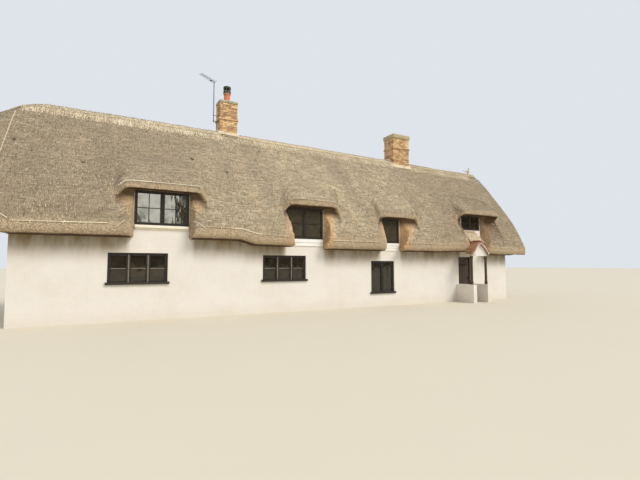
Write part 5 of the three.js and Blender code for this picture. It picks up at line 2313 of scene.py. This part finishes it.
WINDOW_PLANS = (
    WindowPlan("upper_window_1", Side.FRONT, 2, 1, 1, sill_board=True, glass=SHEEN_GLASS),
    WindowPlan("upper_window_2", Side.FRONT, 2, 0, 1, boards=2, glass=DULL_GLASS),
    WindowPlan("upper_window_3", Side.FRONT, 1, 0, 0, boards=3, board_height=0.1, glass=DULL_GLASS),
    WindowPlan("upper_window_4", Side.FRONT, 2, 0, 1),
    WindowPlan("back_upper_window_1", Side.BACK, 2, 1, 1, sill_board=True),
    WindowPlan("back_upper_window_2", Side.BACK, 2, 1, 1, boards=2),
    WindowPlan("lower_window_1", Side.FRONT, 3, 0, 1, beads=True),
    WindowPlan("lower_window_2", Side.FRONT, 3, 0, 1, beads=True),
    WindowPlan("lower_window_3", Side.FRONT, 2, 0, 0),
    WindowPlan("back_lower_window_1", Side.BACK, 3, 0, 1),
    WindowPlan("back_lower_window_2", Side.BACK, 3, 0, 1),
)


@dataclass(frozen=True)
class Casement:
    """Where one casement lies: its side, its ends, its glass's distance out and its heights."""

    side: Side
    wide: Span
    face: float
    upright: Span

    def slab(self, wide: Span, out: Span, upright: Span, chamfer: float = CHAMFER) -> Form:
        """A block that stands out of the casement's glass by two distances."""
        return slab(self.side, wide, (self.face + out[0], self.face + out[1]), upright, chamfer)


@dataclass
class Joinery:
    """Casements, glazing bars, beads, boards and sills of all the windows.

    What stands out is measured from the glass for casements, and from the wall for boards.
    """

    shelf: FinishShelf
    lap: float = 0.0134
    mullion: float = 0.06
    play: float = 0.002
    stile: float = 0.03
    stile_out: float = 0.028
    bar: float = 0.022
    bar_out: float = 0.020
    bead_half: float = 0.017
    bead_out: Span = (0.0358, 0.043)
    hinge_half: Span = (0.012, 0.03)
    hinge_in: float = 0.006
    hinge_from_middle: float = 0.3
    hinge_out: Span = (0.027, 0.034)
    opening_margin: float = 0.0416
    board_gap: float = 0.004
    board_out: Triple = (0.001, 0.016, 0.030)
    board_tone: float = 0.3
    board_tone_step: float = 0.2
    sill_in: float = 0.01
    sill_out: Span = (0.001, 0.075)
    sill_depths: Span = (0.002, 0.087)
    rail_in: float = 0.03
    rail_out: Span = (0.001, 0.03)
    rail_depths: Span = (0.088, 0.127)

    def build(self) -> None:
        """Dresses every window."""
        for plan in WINDOW_PLANS:
            self.shelf.repaint(f"{plan.name}_frame", JOINERY)
            self.shelf.repaint(f"{plan.name}_glass", plan.glass)
            self._casements(plan)
            if plan.boards:
                self._boards(plan)
            if plan.sill_board:
                self._sill_board(plan)

    def _casements(self, plan: WindowPlan) -> None:
        """Builds the casements that fill a window's lights.

        Args:
            plan: the window.
        """
        low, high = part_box(f"{plan.name}_glass")
        face = abs(low.y if plan.side is Side.FRONT else high.y)
        left, right = low.x + self.lap, high.x - self.lap
        upright = (low.z + self.lap + self.play, high.z - self.lap - self.play)
        width = (right - left - self.mullion * (plan.lights - 1)) / plan.lights
        wood, beads = Batch(), Batch()
        for i in range(plan.lights):
            start = left + i * (width + self.mullion) + self.play
            casement = Casement(plan.side, (start, start + width - 2 * self.play), face, upright)
            self._ring(wood, casement)
            self._bars(wood, beads if plan.beads else wood, plan, casement)
            self._hinges(wood, casement, on_right=i > 0)
            if plan.beads and i:
                x = start - self.mullion / 2 - self.play
                wide = (x - self.bead_half, x + self.bead_half)
                beads.add(casement.slab(wide, self.bead_out, upright))
        self.shelf.stand(f"{plan.name}_casements", wood, JOINERY)
        if beads.count:
            self.shelf.stand(f"{plan.name}_beads", beads, BEAD)

    def _ring(self, batch: Batch, casement: Casement) -> None:
        """Builds the four members of a casement.

        Args:
            batch: takes them.
            casement: where they go.
        """
        (x0, x1), (z0, z1), stile = casement.wide, casement.upright, self.stile
        for wide, upright in (
            ((x0, x0 + stile), (z0, z1)),
            ((x1 - stile, x1), (z0, z1)),
            ((x0 + stile, x1 - stile), (z0, z0 + stile)),
            ((x0 + stile, x1 - stile), (z1 - stile, z1)),
        ):
            batch.add(casement.slab(wide, (PROUD, self.stile_out), upright, chamfer=0.006))

    def _bars(self, wood: Batch, beads: Batch, plan: WindowPlan, casement: Casement) -> None:
        """Builds the glazing bars of one casement.

        Args:
            wood: takes the upright bars.
            beads: takes the level bars.
            plan: how many there are.
            casement: where they go.
        """
        x0, x1 = casement.wide[0] + self.stile, casement.wide[1] - self.stile
        z0, z1 = casement.upright[0] + self.stile, casement.upright[1] - self.stile
        half, out = self.bar / 2, (PROUD, self.bar_out)
        for k in range(plan.upright_bars):
            x = x0 + (x1 - x0) * (k + 1) / (plan.upright_bars + 1)
            wood.add(casement.slab((x - half, x + half), out, (z0, z1)))
        for k in range(plan.level_bars):
            z = z0 + (z1 - z0) * (k + 1) / (plan.level_bars + 1)
            beads.add(casement.slab((x0, x1), out, (z - half, z + half)))

    def _hinges(self, batch: Batch, casement: Casement, on_right: bool) -> None:
        """Adds the two hinges on one stile of a casement.

        Args:
            batch: takes them.
            casement: what they carry.
            on_right: whether the stile at the highest X carries them.
        """
        x = casement.wide[1] - self.hinge_in if on_right else casement.wide[0] + self.hinge_in
        half, half_height = self.hinge_half
        for offset in (-self.hinge_from_middle, self.hinge_from_middle):
            z = sum(casement.upright) / 2 + offset
            upright = (z - half_height, z + half_height)
            batch.add(casement.slab((x - half, x + half), self.hinge_out, upright, chamfer=0.002))

    def _opening(self, plan: WindowPlan) -> Triple:
        """Where the opening in the wall lies round a window.

        Args:
            plan: the window.

        Returns:
            The opening's left and right, and the height of its sill.
        """
        low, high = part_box(f"{plan.name}_glass")
        margin = self.opening_margin
        return low.x - margin, high.x + margin, low.z - margin

    def _boards(self, plan: WindowPlan) -> None:
        """Builds the white lapped boards below an upper window.

        Args:
            plan: the window.
        """
        left, right, sill = self._opening(plan)
        back, thin, thick = self.board_out
        ends = (left, right) if plan.side is Side.FRONT else (right, left)
        batch = Batch()
        for i in range(plan.boards):
            top = sill - self.board_gap - i * plan.board_height
            foot = top - plan.board_height + self.board_gap
            section = [(back, foot), (thick, foot), (thin, top), (back, top)]
            rings = [
                [(x, plan.side.value * (WALL_FACE + out), z) for out, z in section] for x in ends
            ]
            batch.add(swept(np.array(rings)), self.board_tone + self.board_tone_step * i)
        self.shelf.stand(f"{plan.name}_boards", batch, WHITE_BOARD)

    def _sill_board(self, plan: WindowPlan) -> None:
        """Builds the cream sill board of an upper window, with the rail below it.

        Args:
            plan: the window.
        """
        left, right, sill = self._opening(plan)
        batch = Batch()
        for inset, out, depths, chamfer in (
            (self.sill_in, self.sill_out, self.sill_depths, 0.012),
            (self.rail_in, self.rail_out, self.rail_depths, 0.008),
        ):
            wide = (left + inset, right - inset)
            proud = (WALL_FACE + out[0], WALL_FACE + out[1])
            batch.add(slab(plan.side, wide, proud, (sill - depths[1], sill - depths[0]), chamfer))
        self.shelf.stand(f"{plan.name}_sill_board", batch, CREAM_BOARD)


# Porch

@dataclass
class PorchRoof:
    """The porch's clay tiles, ridge tiles and rendered verge."""

    shelf: FinishShelf
    tile: Triple = (0.160, 0.20, 0.012)
    tile_gap: float = 0.004
    courses: int = 8
    eaves_in: float = 0.04
    eaves_slack: float = 0.01
    tail_lift: float = 1.9
    head_fall: float = 1.5
    shown_share: float = 0.75
    camber: float = 0.006
    camber_steps: int = 4
    jitter: float = 0.0015
    tone_spread: float = 0.3
    verge_rise: float = 0.035
    verge_drop: float = 0.07
    verge_depth: float = 0.014
    verge_back: float = 0.05
    verge_bevel: float = 0.01
    verge_feel: float = 0.02
    verge_marks: int = 25
    ridge_count: int = 3
    ridge_radii: Span = (0.115, 0.1)
    ridge_arc: Span = (0.12, 0.76)
    ridge_steps: int = 10
    ridge_flare: float = 0.03
    ridge_sunk: float = 0.088
    ridge_tones: Span = (0.5, 1.0)
    seed: int = 301
    low: Vector = field(init=False)
    high: Vector = field(init=False)
    middle: float = field(init=False)
    roof: Feeler = field(init=False)

    def build(self) -> None:
        """Builds every piece of the porch's roof."""
        self.shelf.repaint("porch_roof", TILE_CLAY)
        self.low, self.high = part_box("porch_roof")
        self.middle = (self.low.x + self.high.x) / 2
        self.roof = Feeler([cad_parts["porch_roof"].data])
        self._tiles()
        self._ridge_tiles()
        self._verge()

    def _tiles(self) -> None:
        """Lays plain tiles on both slopes, each course shifted by half a tile."""
        width = self.tile[0]
        half = (self.high.x - self.low.x) / 2
        columns = math.ceil((self.high.y - self.low.y) / width) + 1
        dice = np.random.default_rng(self.seed)
        batch = Batch()
        for way, course, column in itertools.product((-1, 1), range(self.courses), range(columns)):
            out = half * (1 - course / self.courses) - self.eaves_in
            y = self.low.y + width * column + width / 2 * (course % 2) + self.tile_gap
            found = self.roof.from_above(self.middle + way * out, y)
            on_slope = found and found[0].z >= self.low.z - self.eaves_slack
            if on_slope and y + width / 2 <= self.high.y:
                form = self._tile(*found, way).moved(dice.normal(0, self.jitter, 3))
                batch.add(form, random_tint(dice, self.tone_spread))
        self.shelf.stand("porch_tiles", batch, TILE_CLAY)

    def _tile(self, point: Vector, normal: Vector, way: int) -> Form:
        """One cambered tile, whose tail stands on the tile below it.

        Args:
            point: the point of the slope under the tile's tail.
            normal: the slope's normal.
            way: -1 on the left slope and 1 on the right one.

        Returns:
            The tile's form.
        """
        width, length, thick = self.tile
        upward = Vector((-way * normal.z, 0, abs(normal.x))).normalized()
        tail = point + normal * (thick * self.tail_lift)
        rings = []
        for share in (0.0, 0.5, 1.0):
            centre = tail + upward * (length * share * self.shown_share)
            centre -= normal * (thick * self.head_fall * share)
            row = []
            for k in range(self.camber_steps + 1):
                across = k / self.camber_steps - 0.5
                rise = self.camber * (1 - (2 * across) ** 2)
                beside = Vector((0, across * (width - self.tile_gap), 0))
                row.append(centre + beside + normal * rise)
            skin = normal * thick / 2
            rings.append([spot + skin for spot in row] + [spot - skin for spot in reversed(row)])
        return swept(np.array(rings[::-way]))

    def _verge(self) -> None:
        """Covers the front ends of the tiles with a rendered verge, thick at its top."""
        face, back = self.low.y - self.verge_depth, self.low.y + self.verge_back
        rings = []
        edge = self.verge_bevel
        for x in np.linspace(self.low.x + edge, self.high.x - edge, self.verge_marks).tolist():
            found = self.roof.from_above(x, self.low.y + self.verge_feel)
            if found:
                top, foot = found[0].z + self.verge_rise, found[0].z - self.verge_drop
                rings.append([(x, back, foot), (x, face, foot), (x, face, top - edge), (x, back, top)])
        batch = Batch()
        batch.add(swept(np.array(rings)))
        self.shelf.stand("porch_verge", batch, LIME)

    def _ridge_tiles(self) -> None:
        """Beds half-round tiles along the porch's ridge."""
        start, sweep = self.ridge_arc
        arc = [math.pi * (start + sweep * k / self.ridge_steps) for k in range(self.ridge_steps + 1)]
        length = (self.high.y - self.low.y) / self.ridge_count
        foot = self.high.z - self.ridge_sunk
        dice = np.random.default_rng(self.seed + 1)
        batch = Batch()
        for i in range(self.ridge_count):
            near = self.low.y + i * length + self.tile_gap
            far = near + length - 2 * self.tile_gap
            outer, inner = self.ridge_radii
            outer *= 1 + self.ridge_flare * (i % 2)
            section = [(outer * math.cos(a), outer * math.sin(a)) for a in arc]
            section += [(inner * math.cos(a), inner * math.sin(a)) for a in reversed(arc)]
            rings = [[(self.middle + x, y, foot + z) for x, z in section] for y in (far, near)]
            batch.add(swept(np.array(rings)), dice.uniform(*self.ridge_tones))
        self.shelf.stand("porch_ridge_tiles", batch, TILE_CLAY)


@dataclass
class PorchPosts:
    """The two oak posts of the porch, square at both ends and chamfered between."""

    shelf: FinishShelf
    square: float = 0.14
    lap: float = 0.02
    inset: float = 0.004
    chamfer: float = 0.014

    def build(self) -> None:
        """Builds the posts."""
        for word in ("left", "right"):
            low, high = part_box(f"porch_{word}_post")
            batch = Batch()
            batch.add(block(low, (high.x, high.y, low.z + self.square)))
            inner = Vector((self.inset, self.inset, self.square - self.lap))
            batch.add(block(low + inner, high - inner, self.chamfer))
            batch.add(block((low.x, low.y, high.z - self.square), high))
            self.shelf.stand(f"porch_{word}_oak_post", batch, OAK, f"porch_{word}_post")


@dataclass
class PlankDoor:
    """The shut front door: planks, strap hinges with studs, and a ring handle."""

    shelf: FinishShelf
    planks: int = 5
    joint: float = 0.001
    recess: float = 0.012
    bevel: float = 0.007
    tones: Span = (0.2, 0.8)
    strap_from_end: float = 0.3
    strap_ends: Span = (0.02, 0.16)
    strap_half: float = 0.02
    strap_thick: float = 0.007
    studs: int = 4
    first_stud: float = 0.06
    stud_step: float = 0.13
    stud_half: float = 0.009
    stud_out: Span = (0.011, 0.006)
    ring_from_edge: float = 0.08
    ring_radius: float = 0.035
    ring_hang: float = 0.03
    ring_thick: float = 0.005
    ring_steps: int = 20
    plate_half: Span = (0.03, 0.05)
    plate_thick: float = 0.008
    seed: int = 303

    def build(self) -> None:
        """Builds the planks and the ironwork."""
        self.shelf.repaint("door_frame", OAK)
        low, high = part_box("front_door")
        face = low.y + self.recess
        dice = np.random.default_rng(self.seed)
        width = (high.x - low.x) / self.planks
        batch = Batch()
        for i in range(self.planks):
            start = low.x + i * width
            foot = (start + self.joint, face, low.z)
            top = (start + width - self.joint, high.y, high.z)
            batch.add(block(foot, top, self.bevel), dice.uniform(*self.tones))
        self.shelf.stand("door_planks", batch, OAK, "front_door")
        iron = Batch()
        for z in (low.z + self.strap_from_end, high.z - self.strap_from_end):
            self._strap(iron, low.x, high.x, face, z)
        self._handle(iron, Vector((high.x - self.ring_from_edge, face, (low.z + high.z) / 2)))
        self.shelf.stand("door_ironwork", iron, IRONWORK)

    def _strap(self, batch: Batch, left: float, right: float, face: float, z: float) -> None:
        """Adds one strap hinge with its studs.

        Args:
            batch: takes them.
            left: the door's lowest X.
            right: its highest X.
            face: the Y of the planks' face.
            z: the strap's height.
        """
        foot = (left + self.strap_ends[0], face - self.strap_thick, z - self.strap_half)
        batch.add(block(foot, (right - self.strap_ends[1], face, z + self.strap_half)))
        half = self.stud_half
        for k in range(self.studs):
            x = left + self.first_stud + k * self.stud_step
            foot = (x - half, face - self.stud_out[0], z - half)
            batch.add(block(foot, (x + half, face - self.stud_out[1], z + half)))

    def _handle(self, batch: Batch, middle: Vector) -> None:
        """Adds the ring handle on its plate.

        Args:
            batch: takes them.
            middle: the middle of the plate, on the planks' face.
        """
        centre = middle - Vector((0, self.recess, self.ring_hang))
        angles = [2 * math.pi * k / self.ring_steps for k in range(self.ring_steps + 1)]
        ring = [centre + Vector((math.sin(a), 0, math.cos(a))) * self.ring_radius for a in angles]
        batch.add(rod(ring, self.ring_thick, sides=8))
        wide, tall = self.plate_half
        foot = (middle.x - wide, middle.y - self.plate_thick, middle.z - tall)
        batch.add(block(foot, (middle.x + wide, middle.y, middle.z + tall)))


# Studio

@dataclass
class Studio:
    """The pale floor, the soft light and the camera at the photograph's viewing angle."""

    shelf: FinishShelf
    eye: Triple = (-7.46, -15.4, 1.6)
    aim: Triple = (93.58, 0.0, -28.5)
    lens: float = 22.5
    sensor: float = 36.0
    sight: float = 1000.0
    floor_half: float = 220.0
    sky: Colour = colour(233, 239, 245)
    sky_strength: float = 0.9
    hedge: Colour = colour(60, 54, 40)
    hedge_top: float = 0.095
    hedge_edge: float = 0.02
    hedge_sway: float = 0.03
    tree_from: float = 0.155
    tree_edge: float = 0.012
    sun_strength: float = 2.3
    sun_angle: float = 26.0
    sun_tint: Triple = (1.0, 0.965, 0.91)
    sun_from: Triple = (0.55, -0.85, 1.0)

    def build(self) -> None:
        """Builds the floor, the lights and the camera."""
        self._floor()
        self._sky()
        self._sun()
        self._camera()
        bpy.context.scene.view_settings.view_transform = "Standard"

    def _floor(self) -> None:
        """Builds the floor."""
        mesh = bpy.data.meshes.new("studio_floor")
        far = self.floor_half
        corners = [(-far, -far, 0), (far, -far, 0), (far, far, 0), (-far, far, 0)]
        mesh.from_pydata(corners, [], [(0, 1, 2, 3)])
        floor = place("studio_floor", mesh, self.shelf.material(GROUND))

    def _sky(self) -> None:
        """Builds the soft sky, with a dark hedge and tree for the glass to mirror."""
        world = bpy.data.worlds.new("studio_sky")
        world.use_nodes = True
        sheet = NodeSheet(world.node_tree)
        background = world.node_tree.nodes["Background"]
        way = sheet.node("TexCoord").outputs["Generated"]
        axes = sheet.node("SeparateXYZ", {0: way}).outputs
        clouds = sheet.noise(way, scale=7.0)
        sway = sheet.ease(clouds, low=0.3, high=0.7, start=-self.hedge_sway, end=self.hedge_sway)
        ragged = sheet.plus(axes["Z"], sway)
        over_hedge = sheet.ease(ragged, self.hedge_top, self.hedge_top + self.hedge_edge)
        by_tree = sheet.ease(axes["X"], self.tree_from, self.tree_from - self.tree_edge)
        mirrored = sheet.mix(sheet.times(over_hedge, by_tree), self.hedge, self.sky)
        seen = sheet.node("LightPath").outputs["Is Glossy Ray"]
        sheet.feed(background.inputs["Color"], sheet.mix(seen, self.sky, mirrored))
        background.inputs["Strength"].default_value = self.sky_strength
        bpy.context.scene.world = world

    def _sun(self) -> None:
        """Builds one soft sun."""
        lamp = bpy.data.lights.new("soft_sun", "SUN")
        lamp.energy = self.sun_strength
        lamp.angle = math.radians(self.sun_angle)
        lamp.color = self.sun_tint
        sun = bpy.data.objects.new("soft_sun", lamp)
        sun.rotation_euler = Vector(self.sun_from).to_track_quat("Z", "Y").to_euler()
        bpy.context.scene.collection.objects.link(sun)

    def _camera(self) -> None:
        """Builds the camera."""
        data = bpy.data.cameras.new("camera")
        data.lens = self.lens
        data.sensor_width = self.sensor
        data.clip_end = self.sight
        camera = bpy.data.objects.new("camera", data)
        camera.location = self.eye
        camera.rotation_euler = tuple(math.radians(angle) for angle in self.aim)
        bpy.context.scene.collection.objects.link(camera)
        bpy.context.scene.camera = camera


def main() -> None:
    """Builds the looks of the whole house, in order."""
    logging.basicConfig(level=logging.INFO, format="%(message)s")
    shelf = FinishShelf()
    Studio(shelf).build()
    Walls(shelf).dress()
    skin = Thatch(shelf).build()
    Rods(shelf, skin).build()
    BrickStack(shelf, "left", 7.2, 0.035, GREY_CEMENT, seed=401).build()
    BrickStack(shelf, "right", 7.185, 0.030, LICHEN_CEMENT, seed=402).build()
    PotAndCowl(shelf).build()
    Aerial(shelf).build()
    Joinery(shelf).build()
    PorchRoof(shelf).build()
    PorchPosts(shelf).build()
    PlankDoor(shelf).build()


if __name__ == "__main__":
    main()
